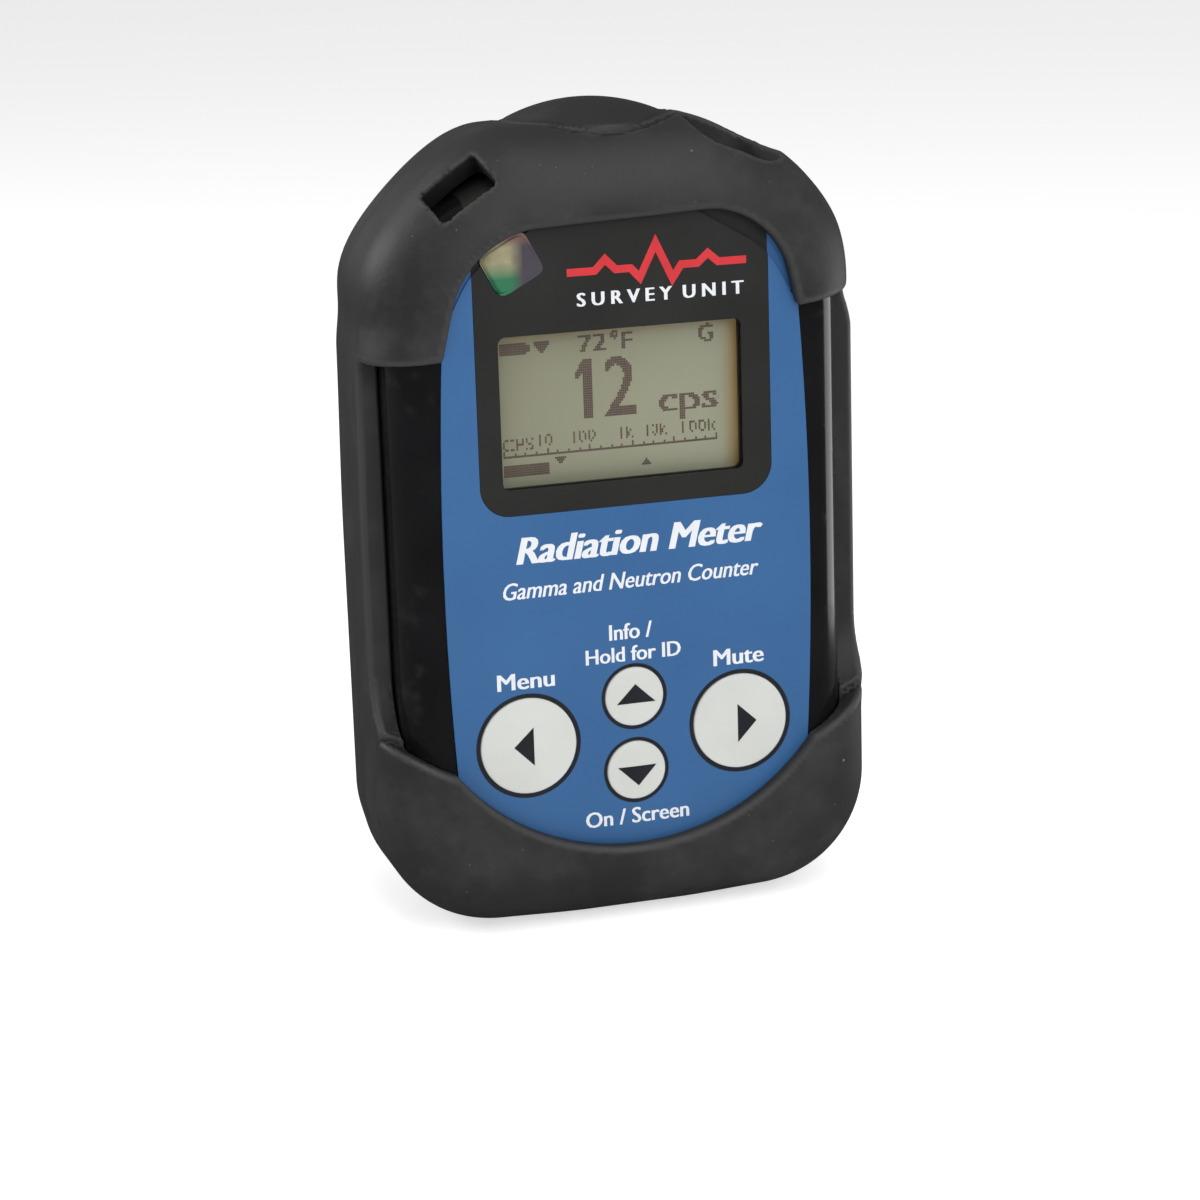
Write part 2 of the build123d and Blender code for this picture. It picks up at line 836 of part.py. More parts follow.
keypad_bottom = big_key_height - small_key_rise - switch_size
keypad_top = big_key_height + small_key_rise + switch_size
with BuildPart() as keypad_board:
    with BuildSketch(front_plane(keypad_front)):
        with Locations((0, (keypad_bottom + keypad_top) / 2)):
            RectangleRounded(2 * board_half, keypad_top - keypad_bottom, board_corner)
    extrude(amount=-keypad_board_thickness)
save(keypad_board, "keypad_board")

with BuildPart() as board_connector:
    with BuildSketch(front_plane(keypad_back)):
        with Locations((0, keypad_top - switch_size / 2)):
            Rectangle(*connector_size)
    extrude(amount=keypad_back - main_board_front)
save(board_connector, "board_connector")

with BuildPart() as main_board:
    with BuildSketch(front_plane(main_board_front)):
        with Locations((0, (main_board_bottom + main_board_top) / 2)):
            Rectangle(2 * board_half, main_board_top - main_board_bottom)
        with Locations(
            (
                (main_board_ear_left + main_board_ear_right) / 2,
                (main_board_top + main_board_ear_top) / 2,
            )
        ):
            Rectangle(
                main_board_ear_right - main_board_ear_left,
                main_board_ear_top - main_board_top,
            )
    extrude(amount=-board_thickness)
save(main_board, "main_board")

with BuildPart() as shield_can:
    with BuildSketch(front_plane(main_board_back)):
        with Locations((0, main_board_bottom + shield_above_foot)):
            RectangleRounded(*shield_size, shield_corner)
    extrude(amount=-shield_depth)
save(shield_can, "shield_can")

with BuildPart() as board_chips:
    with BuildSketch(front_plane(main_board_back)):
        with Locations(*chip_places):
            Rectangle(*chip_size)
    extrude(amount=-chip_height)
    with BuildSketch(front_plane(main_board_back)):
        with Locations(coil_place):
            Rectangle(*coil_size)
    extrude(amount=-coil_height)
save(board_chips, "board_chips")

# ---- Battery bay --------------------------------------------------------------------

cell_spread = cell_radius + cell_gap / 2
for name, x, nub_up in [
    ("battery_left", -cell_spread, True),
    ("battery_right", cell_spread, False),
]:
    with BuildPart() as cell:
        body_foot = cell_foot if nub_up else cell_foot + nub_length
        with BuildSketch(Plane.XY.offset(body_foot)):
            with Locations((x, cell_depth)):
                Circle(cell_radius)
        extrude(amount=cell_length - nub_length)
        nub_foot = cell_foot + cell_length - nub_length if nub_up else cell_foot
        with BuildSketch(Plane.XY.offset(nub_foot)):
            with Locations((x, cell_depth)):
                Circle(nub_radius)
        extrude(amount=nub_length)
    save(cell, name)

with BuildPart() as battery_contacts:
    with BuildSketch(Plane.XY.offset(bay_top - contact_thickness)):
        with Locations((0, cell_depth)):
            Rectangle(2 * bay_half - contact_margin, contact_width)
    extrude(amount=contact_thickness)
    with BuildSketch(Plane.XY.offset(bay_bottom)):
        with Locations((-cell_spread, cell_depth), (cell_spread, cell_depth)):
            Rectangle(2 * (cell_radius - contact_margin), contact_width)
    extrude(amount=contact_thickness)
save(battery_contacts, "battery_contacts")

# Flat-wound contact springs, drawn as their stack of closed turns
with BuildPart() as battery_springs:
    spring_foot = bay_bottom + contact_thickness
    spring_pitch = (contact_room - contact_thickness) / spring_turns
    for turn in range(spring_turns):
        with BuildSketch(Plane.XY.offset(spring_foot + turn * spring_pitch)):
            with Locations((-cell_spread, cell_depth), (cell_spread, cell_depth)):
                outer = spring_radius - spring_step * turn
                Circle(outer)
                Circle(outer - spring_band, mode=Mode.SUBTRACT)
        extrude(amount=spring_pitch)
save(battery_springs, "battery_springs")

with BuildPart() as battery_door:
    with BuildSketch(front_plane(case_back)):
        with Locations((0, (door_bottom + hinge_height - hinge_pocket) / 2)):
            door_height = hinge_height - hinge_pocket - door_bottom
            RectangleRounded(2 * door_half, door_height, door_corner)
    extrude(amount=door_thickness)
    # hinge leaf and barrel
    with BuildSketch(front_plane(case_back)):
        with Locations((0, hinge_height - hinge_pocket)):
            Rectangle(2 * hinge_half_width, 2 * hinge_pocket)
    extrude(amount=door_thickness)
    with BuildSketch(Plane.YZ.offset(-hinge_half_width)):
        with Locations((hinge_depth, hinge_height)):
            Circle(hinge_radius)
    extrude(amount=2 * hinge_half_width)
    # boss round the screw
    with BuildSketch(front_plane(door_inner)):
        with Locations((0, door_screw_height)):
            Circle(door_boss_radius)
    extrude(amount=door_boss_depth)
    # bore of the hinge pin, and the screw's hole and recess
    with BuildSketch(Plane.YZ.offset(-hinge_half_width)):
        with Locations((hinge_depth, hinge_height)):
            Circle(hinge_pin_radius + running_clearance)
    extrude(amount=2 * hinge_half_width, mode=Mode.SUBTRACT)
    with BuildSketch(front_plane(case_back)):
        with Locations((0, door_screw_height)):
            Circle(door_screw_head_radius + running_clearance)
    extrude(amount=door_screw_head + running_clearance, mode=Mode.SUBTRACT)
    with BuildSketch(front_plane(case_back)):
        with Locations((0, door_screw_height)):
            Circle(door_screw_radius + running_clearance)
    extrude(amount=door_thickness + door_boss_depth, mode=Mode.SUBTRACT)
save(battery_door, "battery_door")

with BuildPart() as door_hinge_pin:
    with BuildSketch(Plane.YZ.offset(-hinge_pocket_half - hinge_pin_reach)):
        with Locations((hinge_depth, hinge_height)):
            Circle(hinge_pin_radius)
    extrude(amount=2 * (hinge_pocket_half + hinge_pin_reach))
save(door_hinge_pin, "door_hinge_pin")

with BuildPart() as door_seal:
    with BuildSketch(front_plane(door_inner - seal_depth)):
        with Locations((0, (bay_bottom + bay_top) / 2)):
            Rectangle(
                2 * seal_outer_half,
                bay_top - bay_bottom + 2 * (seal_offset + seal_width),
            )
            Rectangle(
                2 * (bay_half + seal_offset),
                bay_top - bay_bottom + 2 * seal_offset,
                mode=Mode.SUBTRACT,
            )
    extrude(amount=-(seal_depth - running_clearance))
save(door_seal, "door_seal")

with BuildPart() as door_screw:
    with BuildSketch(front_plane(case_back)):
        with Locations((0, door_screw_height)):
            Circle(door_screw_head_radius)
    extrude(amount=door_screw_head)
    with BuildSketch(front_plane(case_back - door_screw_head)):
        with Locations((0, door_screw_height)):
            Circle(door_screw_radius)
    extrude(amount=door_screw_length)
    with BuildSketch(front_plane(case_back)):
        with Locations((0, door_screw_height)):
            Rectangle(2 * door_screw_head_radius, coin_slot_width)
    extrude(amount=coin_slot_depth, mode=Mode.SUBTRACT)
save(door_screw, "door_screw")

with BuildPart() as screw_insert:
    with BuildSketch(front_plane(insert_back)):
        with Locations((0, door_screw_height)):
            Circle(insert_radius)
            Circle(insert_radius - insert_wall, mode=Mode.SUBTRACT)
    extrude(amount=insert_length)
save(screw_insert, "screw_insert")

# ---- Detector -----------------------------------------------------------------------

tube_left = -tube_length / 2


def across(x):
    """Sketch plane at this X: its own X and Y are Y and Z."""
    return Plane.YZ.offset(x)


with BuildPart() as detector_tube:
    with BuildSketch(across(tube_left)):
        with Locations((mid_depth, tube_height)):
            Circle(tube_radius)
    extrude(amount=tube_length - tube_cap)
    with BuildSketch(across(tube_left + tube_wall)):
        with Locations((mid_depth, tube_height)):
            Circle(tube_radius - tube_wall)
    extrude(amount=tube_length, mode=Mode.SUBTRACT)
save(detector_tube, "detector_tube")

with BuildPart() as detector_cap:
    with BuildSketch(across(tube_left + tube_length - tube_cap)):
        with Locations((mid_depth, tube_height)):
            Circle(tube_radius)
    extrude(amount=tube_cap)
    with BuildSketch(across(tube_left + tube_length - 2 * tube_cap)):
        with Locations((mid_depth, tube_height)):
            Circle(tube_radius - tube_wall - tube_fit)
    extrude(amount=tube_cap)
save(detector_cap, "detector_cap")

core_radius = tube_radius - tube_wall - tube_fit
crystal_left = tube_left + tube_wall + tube_fit
pmt_left = crystal_left + crystal_length + tube_fit
divider_left = pmt_left + pmt_length + pmt_pin_room / 2
for name, left, length, radius in [
    ("scintillator_crystal", crystal_left, crystal_length, core_radius),
    ("photomultiplier", pmt_left, pmt_length, core_radius),
]:
    with BuildPart() as core:
        with BuildSketch(across(left)):
            with Locations((mid_depth, tube_height)):
                Circle(radius)
        extrude(amount=length)
    save(core, name)

with BuildPart() as divider_board:
    with BuildSketch(across(divider_left)):
        with Locations((mid_depth, tube_height)):
            Circle(core_radius - divider_margin)
    extrude(amount=divider_thickness)
    with BuildSketch(across(pmt_left + pmt_length)):
        with Locations((mid_depth, tube_height)):
            with PolarLocations(core_radius - pmt_pin_inset, pmt_pins):
                Circle(pmt_pin_radius)
    extrude(amount=pmt_pin_room / 2)
save(divider_board, "divider_board")

with BuildPart() as detector_cushions:
    for x in (-cushion_spread, cushion_spread):
        with BuildSketch(across(x - cushion_width / 2)):
            with Locations((mid_depth, tube_height)):
                cushion_depth = inner_back - main_board_back - lens_gap
                Rectangle(cushion_depth, 2 * cushion_half_height)
                Circle(tube_radius + tube_fit, mode=Mode.SUBTRACT)
        extrude(amount=cushion_width)
save(detector_cushions, "detector_cushions")

# ---- Alarm light, sounder, vibrator, infrared port ----------------------------------

light_front = panel_front - light_proud
light_back = inner_front + light_flange_thickness
with BuildPart() as alarm_light_guide:
    with BuildSketch(front_plane(light_front)):
        with Locations(Location(light_centre, light_turn)):
            RectangleRounded(*light_size, light_radius)
    extrude(amount=light_front - light_back)
    with BuildSketch(front_plane(inner_front)):
        with Locations(Location(light_centre, light_turn)):
            RectangleRounded(
                light_size[0] + 2 * light_flange,
                light_size[1] + 2 * light_flange,
                light_radius,
            )
    extrude(amount=-light_flange_thickness)
    fillet(alarm_light_guide.faces().sort_by(Axis.Y)[0].edges(), radius=light_proud)
save(alarm_light_guide, "alarm_light_guide")

led_front = light_back + led_gap
led_board_front = led_front + led_height
led_board_back = led_board_front + led_board_thickness
with BuildPart() as alarm_leds:
    with BuildSketch(front_plane(led_front)):
        with Locations(Location(light_centre)):
            with GridLocations(led_spread, 0, 2, 1):
                Rectangle(*led_size)
    extrude(amount=-led_height)
save(alarm_leds, "alarm_leds")

with BuildPart() as led_board:
    with BuildSketch(front_plane(led_board_front)):
        with Locations(light_centre):
            Rectangle(*led_board_size)
    extrude(amount=-led_board_thickness)
save(led_board, "led_board")

with BuildPart() as led_riser:
    with BuildSketch(front_plane(led_board_back)):
        with Locations(light_centre):
            Rectangle(*led_riser_size)
    extrude(amount=led_board_back - main_board_front)
save(led_riser, "led_riser")

sounder_top = -(case_wall + sounder_gap)
with BuildPart() as sounder:
    with BuildSketch(shoulder_plane(sounder_top)):
        Circle(sounder_radius)
    extrude(amount=-sounder_thickness)
    with BuildSketch(shoulder_plane(sounder_top)):
        Circle(sounder_port_radius)
    extrude(amount=-sounder_port_depth, mode=Mode.SUBTRACT)
save(sounder, "sounder")

motor_depth = mid_depth
with BuildPart() as vibration_motor:
    with BuildSketch(across(motor_left)):
        with Locations((motor_depth, motor_height)):
            Circle(motor_radius)
    extrude(amount=motor_length)
    with BuildSketch(across(motor_left + motor_length)):
        with Locations((motor_depth, motor_height)):
            Circle(motor_shaft_radius)
    extrude(amount=weight_gap + weight_length)
save(vibration_motor, "vibration_motor")

with BuildPart() as motor_weight:
    with BuildSketch(across(motor_left + motor_length + weight_gap)):
        with Locations((motor_depth, motor_height)):
            Circle(weight_radius)
            with Locations((0, weight_radius)):
                Rectangle(*weight_cut, mode=Mode.SUBTRACT)
            Circle(motor_shaft_radius + running_clearance, mode=Mode.SUBTRACT)
    extrude(amount=weight_length)
save(motor_weight, "motor_weight")

with BuildPart() as motor_cradle:
    with BuildSketch(across(motor_left + cradle_inset)):
        cradle_back = motor_depth + motor_radius + cradle_wall
        with Locations(((main_board_back + cradle_back) / 2, motor_height)):
            Rectangle(cradle_back - main_board_back, 2 * cradle_half_height)
        with Locations((motor_depth, motor_height)):
            Circle(motor_radius + tube_fit, mode=Mode.SUBTRACT)
    extrude(amount=motor_length - 2 * cradle_inset)
save(motor_cradle, "motor_cradle")

with BuildPart() as ir_window:
    with BuildSketch(front_plane(case_back)):
        with Locations(ir_centre):
            RectangleRounded(*ir_size, ir_corner - ir_fit)
    extrude(amount=case_wall)
save(ir_window, "ir_window")

with BuildPart() as ir_transceiver:
    with BuildSketch(front_plane(inner_back - ir_fit)):
        with Locations(ir_centre):
            Rectangle(*ir_size)
    extrude(amount=ir_depth)
save(ir_transceiver, "ir_transceiver")
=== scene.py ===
import math

import bpy
import numpy as np
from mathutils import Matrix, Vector


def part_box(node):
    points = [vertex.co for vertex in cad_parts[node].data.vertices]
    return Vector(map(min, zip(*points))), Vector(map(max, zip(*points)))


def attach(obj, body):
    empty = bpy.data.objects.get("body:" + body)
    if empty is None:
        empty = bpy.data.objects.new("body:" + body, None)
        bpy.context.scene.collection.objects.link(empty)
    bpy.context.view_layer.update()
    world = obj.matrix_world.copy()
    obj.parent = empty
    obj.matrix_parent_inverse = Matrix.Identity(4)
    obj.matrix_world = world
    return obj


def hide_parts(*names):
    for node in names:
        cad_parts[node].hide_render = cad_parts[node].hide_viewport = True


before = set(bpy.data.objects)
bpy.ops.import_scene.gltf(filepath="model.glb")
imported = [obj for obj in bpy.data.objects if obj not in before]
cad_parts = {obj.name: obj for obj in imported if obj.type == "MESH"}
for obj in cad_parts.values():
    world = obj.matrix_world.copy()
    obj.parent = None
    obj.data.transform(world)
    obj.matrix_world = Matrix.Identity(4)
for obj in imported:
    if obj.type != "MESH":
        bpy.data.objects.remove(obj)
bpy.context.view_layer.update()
mm = 0.001


# ---- Camera, floor and studio light --------------------------------------------------
# The meter is seen from its left and above, with a long lens held slightly off level. It
# stands on a pale table in a bright room under soft boxes. Table and room are mirrored
# darker than they are, as if black cards stood round the set, which keeps blacks deep.

view_azimuth = math.radians(-16.61)
view_elevation = math.radians(14.71)
view_roll = math.radians(-1.85)
view_distance = 433.5 * mm
view_target = Vector((0.49, 0.0, 39.66)) * mm
focal_length = 95.79
table_glow = 0.6
table_mirrored = 0.12
room_glow = 0.42
room_mirrored = 0.14

backwards = Vector((
    math.sin(view_azimuth) * math.cos(view_elevation),
    -math.cos(view_azimuth) * math.cos(view_elevation),
    math.sin(view_elevation),
))
level_right = (-backwards).cross(Vector((0, 0, 1))).normalized()
level_up = backwards.cross(level_right)
view_right = math.cos(view_roll) * level_right + math.sin(view_roll) * level_up
view_up = backwards.cross(view_right)
lens = bpy.data.cameras.new("camera")
lens.lens = focal_length
lens.sensor_width = 36.0
lens.clip_start = 0.01
camera = bpy.data.objects.new("camera", lens)
turn = np.array([view_right, view_up, backwards]).T
camera.matrix_world = [
    (*turn[row], (view_target + backwards * view_distance)[row]) for row in range(3)
] + [(0, 0, 0, 1)]
camera.matrix_world.transpose()
bpy.context.scene.collection.objects.link(camera)
bpy.context.scene.camera = camera
bpy.context.scene.view_settings.view_transform = "Standard"

floor_half = 6.0
floor_mesh = bpy.data.meshes.new("table")
floor_mesh.from_pydata(
    [(-floor_half, -floor_half, 0), (floor_half, -floor_half, 0),
     (floor_half, floor_half, 0), (-floor_half, floor_half, 0)],
    [], [(0, 1, 2, 3)],
)
table = bpy.data.objects.new("table", floor_mesh)
bpy.context.scene.collection.objects.link(table)
table_paint = bpy.data.materials.new("table_paint")
table_paint.use_nodes = True
table_shader = table_paint.node_tree.nodes["Principled BSDF"]
table_shader.inputs["Base Color"].default_value = (0.9, 0.9, 0.9, 1)
table_shader.inputs["Roughness"].default_value = 0.1
table_shader.inputs["Emission Color"].default_value = (1, 1, 1, 1)
table_shader.inputs["Emission Strength"].default_value = table_glow
seen_by = table_paint.node_tree.nodes.new("ShaderNodeLightPath")
mirrored = table_paint.node_tree.nodes.new("ShaderNodeBsdfDiffuse")
mirrored.inputs["Color"].default_value = (*[table_mirrored] * 3, 1)
either = table_paint.node_tree.nodes.new("ShaderNodeMixShader")
table_out = next(n for n in table_paint.node_tree.nodes if n.type == "OUTPUT_MATERIAL")
table_paint.node_tree.links.new(seen_by.outputs["Is Glossy Ray"], either.inputs["Fac"])
table_paint.node_tree.links.new(table_shader.outputs["BSDF"], either.inputs[1])
table_paint.node_tree.links.new(mirrored.outputs["BSDF"], either.inputs[2])
table_paint.node_tree.links.new(either.outputs["Shader"], table_out.inputs["Surface"])
floor_mesh.materials.append(table_paint)

room = bpy.data.worlds.new("room")
room.use_nodes = True
background = room.node_tree.nodes["Background"]
background.inputs["Color"].default_value = (1.0, 1.0, 1.0, 1)
room_path = room.node_tree.nodes.new("ShaderNodeLightPath")
room_light = room.node_tree.nodes.new("ShaderNodeMapRange")
room_light.inputs["To Min"].default_value = room_glow
room_light.inputs["To Max"].default_value = room_mirrored
room.node_tree.links.new(room_path.outputs["Is Glossy Ray"], room_light.inputs["Value"])
room.node_tree.links.new(room_light.outputs["Result"], background.inputs["Strength"])
bpy.context.scene.world = room


def soft_box(name, place, aim, width, watts):
    """A square area lamp at place that faces aim."""
    lamp = bpy.data.lights.new(name, "AREA")
    lamp.size = width
    lamp.energy = watts
    holder = bpy.data.objects.new(name, lamp)
    holder.location = place
    holder.rotation_euler = (Vector(aim) - Vector(place)).to_track_quat("-Z", "Y").to_euler()
    bpy.context.scene.collection.objects.link(holder)


soft_box("overhead_box", (0.1, -0.5, 1.0), (0, 0, 0.05), 0.9, 5.0)
soft_box("front_box", (0.12, -1.0, 0.55), (0, 0, 0.05), 0.5, 2.7)
soft_box("rim_box", (-0.7, 0.5, 0.5), (0, 0, 0.06), 0.4, 3.5)
soft_box("side_card", (0.16, 0.01, 0.045), (0.03, -0.014, 0.05), 0.09, 0.055)


# ---- Detector: crystal, photomultiplier and their tube -------------------------------
# A scintillation crystal glued to a glass photomultiplier with its divider board, in a
# turned aluminium tube with a pressed cap, lying across the top on two foam saddles.


def finish(
    name, colour, roughness, metallic=0.0, mottle=0.12, patches=60.0, grain=900.0, relief=0.01
):
    """A surface whose colour and gloss wander and whose skin has a fine relief.

    One noise of the given patches per metre moves the colour between (1 - mottle) and
    (1 + mottle) of itself, and the roughness by a seventh either way; a second, finer
    noise of the given grain per metre lifts the surface by relief millimetres.
    """
    made = bpy.data.materials.new(name)
    made.use_nodes = True
    nodes = made.node_tree.nodes
    links = made.node_tree.links
    shader = nodes["Principled BSDF"]
    shader.inputs["Metallic"].default_value = metallic
    where = nodes.new("ShaderNodeTexCoord")
    wander = nodes.new("ShaderNodeTexNoise")
    wander.inputs["Scale"].default_value = patches
    wander.inputs["Detail"].default_value = 5.0
    links.new(where.outputs["Object"], wander.inputs["Vector"])
    tones = nodes.new("ShaderNodeValToRGB")
    tones.name = "tones"
    tones.color_ramp.elements[0].position = 0.3
    tones.color_ramp.elements[1].position = 0.7
    tones.color_ramp.elements[0].color = (*[c * (1 - mottle) for c in colour], 1)
    tones.color_ramp.elements[1].color = (*[min(c * (1 + mottle), 1) for c in colour], 1)
    links.new(wander.outputs["Fac"], tones.inputs["Fac"])
    links.new(tones.outputs["Color"], shader.inputs["Base Color"])
    gloss = nodes.new("ShaderNodeMapRange")
    gloss.name = "gloss"
    gloss.inputs["From Min"].default_value = 0.3
    gloss.inputs["From Max"].default_value = 0.7
    gloss.inputs["To Min"].default_value = roughness * 0.86
    gloss.inputs["To Max"].default_value = min(roughness * 1.14, 1.0)
    links.new(wander.outputs["Fac"], gloss.inputs["Value"])
    links.new(gloss.outputs["Result"], shader.inputs["Roughness"])
    fine = nodes.new("ShaderNodeTexNoise")
    fine.inputs["Scale"].default_value = grain
    fine.inputs["Detail"].default_value = 3.0
    links.new(where.outputs["Object"], fine.inputs["Vector"])
    lift = nodes.new("ShaderNodeBump")
    lift.inputs["Strength"].default_value = 1.0
    lift.inputs["Distance"].default_value = relief * mm
    links.new(fine.outputs["Fac"], lift.inputs["Height"])
    links.new(lift.outputs["Normal"], shader.inputs["Normal"])
    return made


def dress(made, *nodes):
    """Gives these CAD nodes the finish."""
    for node in nodes:
        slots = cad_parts[node].data.materials
        slots.clear()
        slots.append(made)


def lay_over(made, pattern, colour, low, high, roughness=None):
    """Mixes a second colour over the finish where the pattern's value passes from low to high."""
    nodes = made.node_tree.nodes
    links = made.node_tree.links
    shader = nodes["Principled BSDF"]
    amount = nodes.new("ShaderNodeMapRange")
    amount.inputs["From Min"].default_value = low
    amount.inputs["From Max"].default_value = high
    links.new(pattern, amount.inputs["Value"])
    blend = nodes.new("ShaderNodeMix")
    blend.data_type = "RGBA"
    blend.inputs["B"].default_value = (*colour, 1)
    links.new(amount.outputs["Result"], blend.inputs["Factor"])
    links.new(shader.inputs["Base Color"].links[0].from_socket, blend.inputs["A"])
    links.new(blend.outputs["Result"], shader.inputs["Base Color"])
    if roughness is not None:
        change = nodes.new("ShaderNodeMix")
        change.inputs["B"].default_value = roughness
        links.new(amount.outputs["Result"], change.inputs["Factor"])
        links.new(shader.inputs["Roughness"].links[0].from_socket, change.inputs["A"])
        links.new(change.outputs["Result"], shader.inputs["Roughness"])


def pattern_node(made, kind, scale, **settings):
    """A texture node of the given kind on Object coordinates."""
    nodes = made.node_tree.nodes
    texture = nodes.new(kind)
    texture.inputs["Scale"].default_value = scale
    for name, value in settings.items():
        setattr(texture, name, value)
    where = next(n for n in nodes if n.type == "TEX_COORD")
    made.node_tree.links.new(where.outputs["Object"], texture.inputs["Vector"])
    return texture


aluminium = finish("turned_aluminium", (0.62, 0.63, 0.64), 0.32, 1.0, 0.08, 90.0, 2400.0, 0.004)
turning = pattern_node(aluminium, "ShaderNodeTexWave", 900.0, bands_direction="X")
lay_over(aluminium, turning.outputs["Fac"], (0.5, 0.51, 0.52), 0.5, 1.0, 0.45)
dress(aluminium, "detector_tube", "detector_cap")

crystal = finish("iodide_crystal", (0.72, 0.82, 0.86), 0.12, 0.0, 0.06, 40.0, 300.0, 0.004)
crystal.node_tree.nodes["Principled BSDF"].inputs["Transmission Weight"].default_value = 0.6
dress(crystal, "scintillator_crystal")

tube_glass = finish("silvered_glass", (0.46, 0.42, 0.38), 0.14, 0.6, 0.25, 120.0, 500.0, 0.003)
dress(tube_glass, "photomultiplier")

foam = finish("saddle_foam", (0.16, 0.16, 0.17), 0.95, 0.0, 0.3, 500.0, 1800.0, 0.15)
dress(foam, "detector_cushions")


# ---- Circuit boards and what is soldered to them --------------------------------------
# Glass-fibre boards under green solder mask with copper tracks, black moulded chips, a
# tinned screening can, tactile switches, connector, light emitters, sounder and vibrator.

mask = finish("green_solder_mask", (0.02, 0.16, 0.06), 0.32, 0.0, 0.2, 200.0, 2600.0, 0.01)
tracks = pattern_node(mask, "ShaderNodeTexBrick", 330.0, offset=0.35, squash=1.7)
tracks.inputs["Mortar Size"].default_value = 0.06
lay_over(mask, tracks.outputs["Fac"], (0.07, 0.3, 0.12), 0.2, 0.8, 0.25)
vias = pattern_node(mask, "ShaderNodeTexVoronoi", 420.0)
lay_over(mask, vias.outputs["Distance"], (0.75, 0.62, 0.35), 0.09, 0.05, 0.3)
dress(mask, "keypad_board", "main_board", "divider_board", "led_board")

chip_black = finish("chip_moulding", (0.022, 0.022, 0.024), 0.6, 0.0, 0.25, 300.0, 5000.0, 0.006)
dress(chip_black, "board_chips", "board_connector")

tinned = finish("tinned_sheet", (0.66, 0.66, 0.64), 0.34, 1.0, 0.14, 220.0, 1600.0, 0.006)
spangle = pattern_node(tinned, "ShaderNodeTexVoronoi", 260.0)
lay_over(tinned, spangle.outputs["Distance"], (0.52, 0.53, 0.53), 0.2, 0.7, 0.45)
dress(tinned, "shield_can", "battery_contacts", "ir_transceiver")

switch_black = (0.03, 0.03, 0.032)
switch_plastic = finish("switch_moulding", switch_black, 0.42, 0.0, 0.2, 260.0, 3200.0, 0.008)
dress(switch_plastic, "key_switches")

riser_white = finish("natural_nylon", (0.74, 0.72, 0.66), 0.5, 0.0, 0.06, 140.0, 2600.0, 0.01)
dress(riser_white, "led_riser", "lcd_frame", "motor_cradle")

emitter = finish("emitter_resin", (0.85, 0.83, 0.62), 0.2, 0.0, 0.1, 600.0, 1400.0, 0.003)
dress(emitter, "alarm_leds")

sounder_brass = finish("sounder_disc", (0.66, 0.5, 0.22), 0.3, 1.0, 0.16, 260.0, 1800.0, 0.006)
dress(sounder_brass, "sounder")

motor_steel = finish("drawn_steel", (0.5, 0.5, 0.51), 0.28, 1.0, 0.1, 180.0, 3600.0, 0.005)
dress(motor_steel, "vibration_motor", "case_screws", "door_hinge_pin", "battery_springs")

heavy_metal = finish("sintered_tungsten", (0.36, 0.35, 0.34), 0.42, 1.0, 0.16, 500.0, 2200.0, 0.012)
dress(heavy_metal, "motor_weight")


# ---- Battery bay ---------------------------------------------------------------------
# Two AAA cells lie side by side in printed shrink sleeves on plated springs, behind a
# door sealed by a soft black ring; the door screw turns in a brass insert.


def axes_on(made):
    """A node that gives the x, y and z of a finish's Object coordinates apart."""
    axes = made.node_tree.nodes.new("ShaderNodeSeparateXYZ")
    where = next(n for n in made.node_tree.nodes if n.type == "TEX_COORD")
    made.node_tree.links.new(where.outputs["Object"], axes.inputs["Vector"])
    return axes


sleeve_dark = (0.03, 0.032, 0.036)
sleeve_band = (0.62, 0.33, 0.07)
bare_can = (0.6, 0.6, 0.6)
band_share = 0.3
bare_top = 1.3 * mm
bare_foot = 0.6 * mm
print_edge = 0.1 * mm
cell_low, cell_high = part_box("battery_left")
sleeve = finish("cell_sleeve", sleeve_dark, 0.22, 0.0, 0.12, 160.0, 1800.0, 0.004)
up_cell = axes_on(sleeve).outputs["Z"]
band_edge = cell_high.z - band_share * (cell_high.z - cell_low.z)
top_edge = cell_high.z - bare_top
foot_edge = cell_low.z + bare_foot
lay_over(sleeve, up_cell, sleeve_band, band_edge, band_edge + print_edge, 0.26)
lay_over(sleeve, up_cell, bare_can, top_edge, top_edge + print_edge)
lay_over(sleeve, up_cell, bare_can, foot_edge, foot_edge - print_edge)
dress(sleeve, "battery_left", "battery_right")

seal_rubber = finish("seal_silicone", (0.03, 0.03, 0.03), 0.62, 0.0, 0.2, 200.0, 2600.0, 0.01)
dress(seal_rubber, "door_seal", "case_gasket")

insert_brass = finish("knurled_brass", (0.72, 0.52, 0.2), 0.34, 1.0, 0.12, 300.0, 2400.0, 0.01)
dress(insert_brass, "screw_insert")


# ---- Case shells, battery door and its screw ------------------------------------------
# Two shells moulded in black polycarbonate with a deep polish at the front and sides,
# and a door in the same plastic held by a slotted stainless coin screw. Under the hood
# the front shell is painted in the blue and black of the film that meets it there.

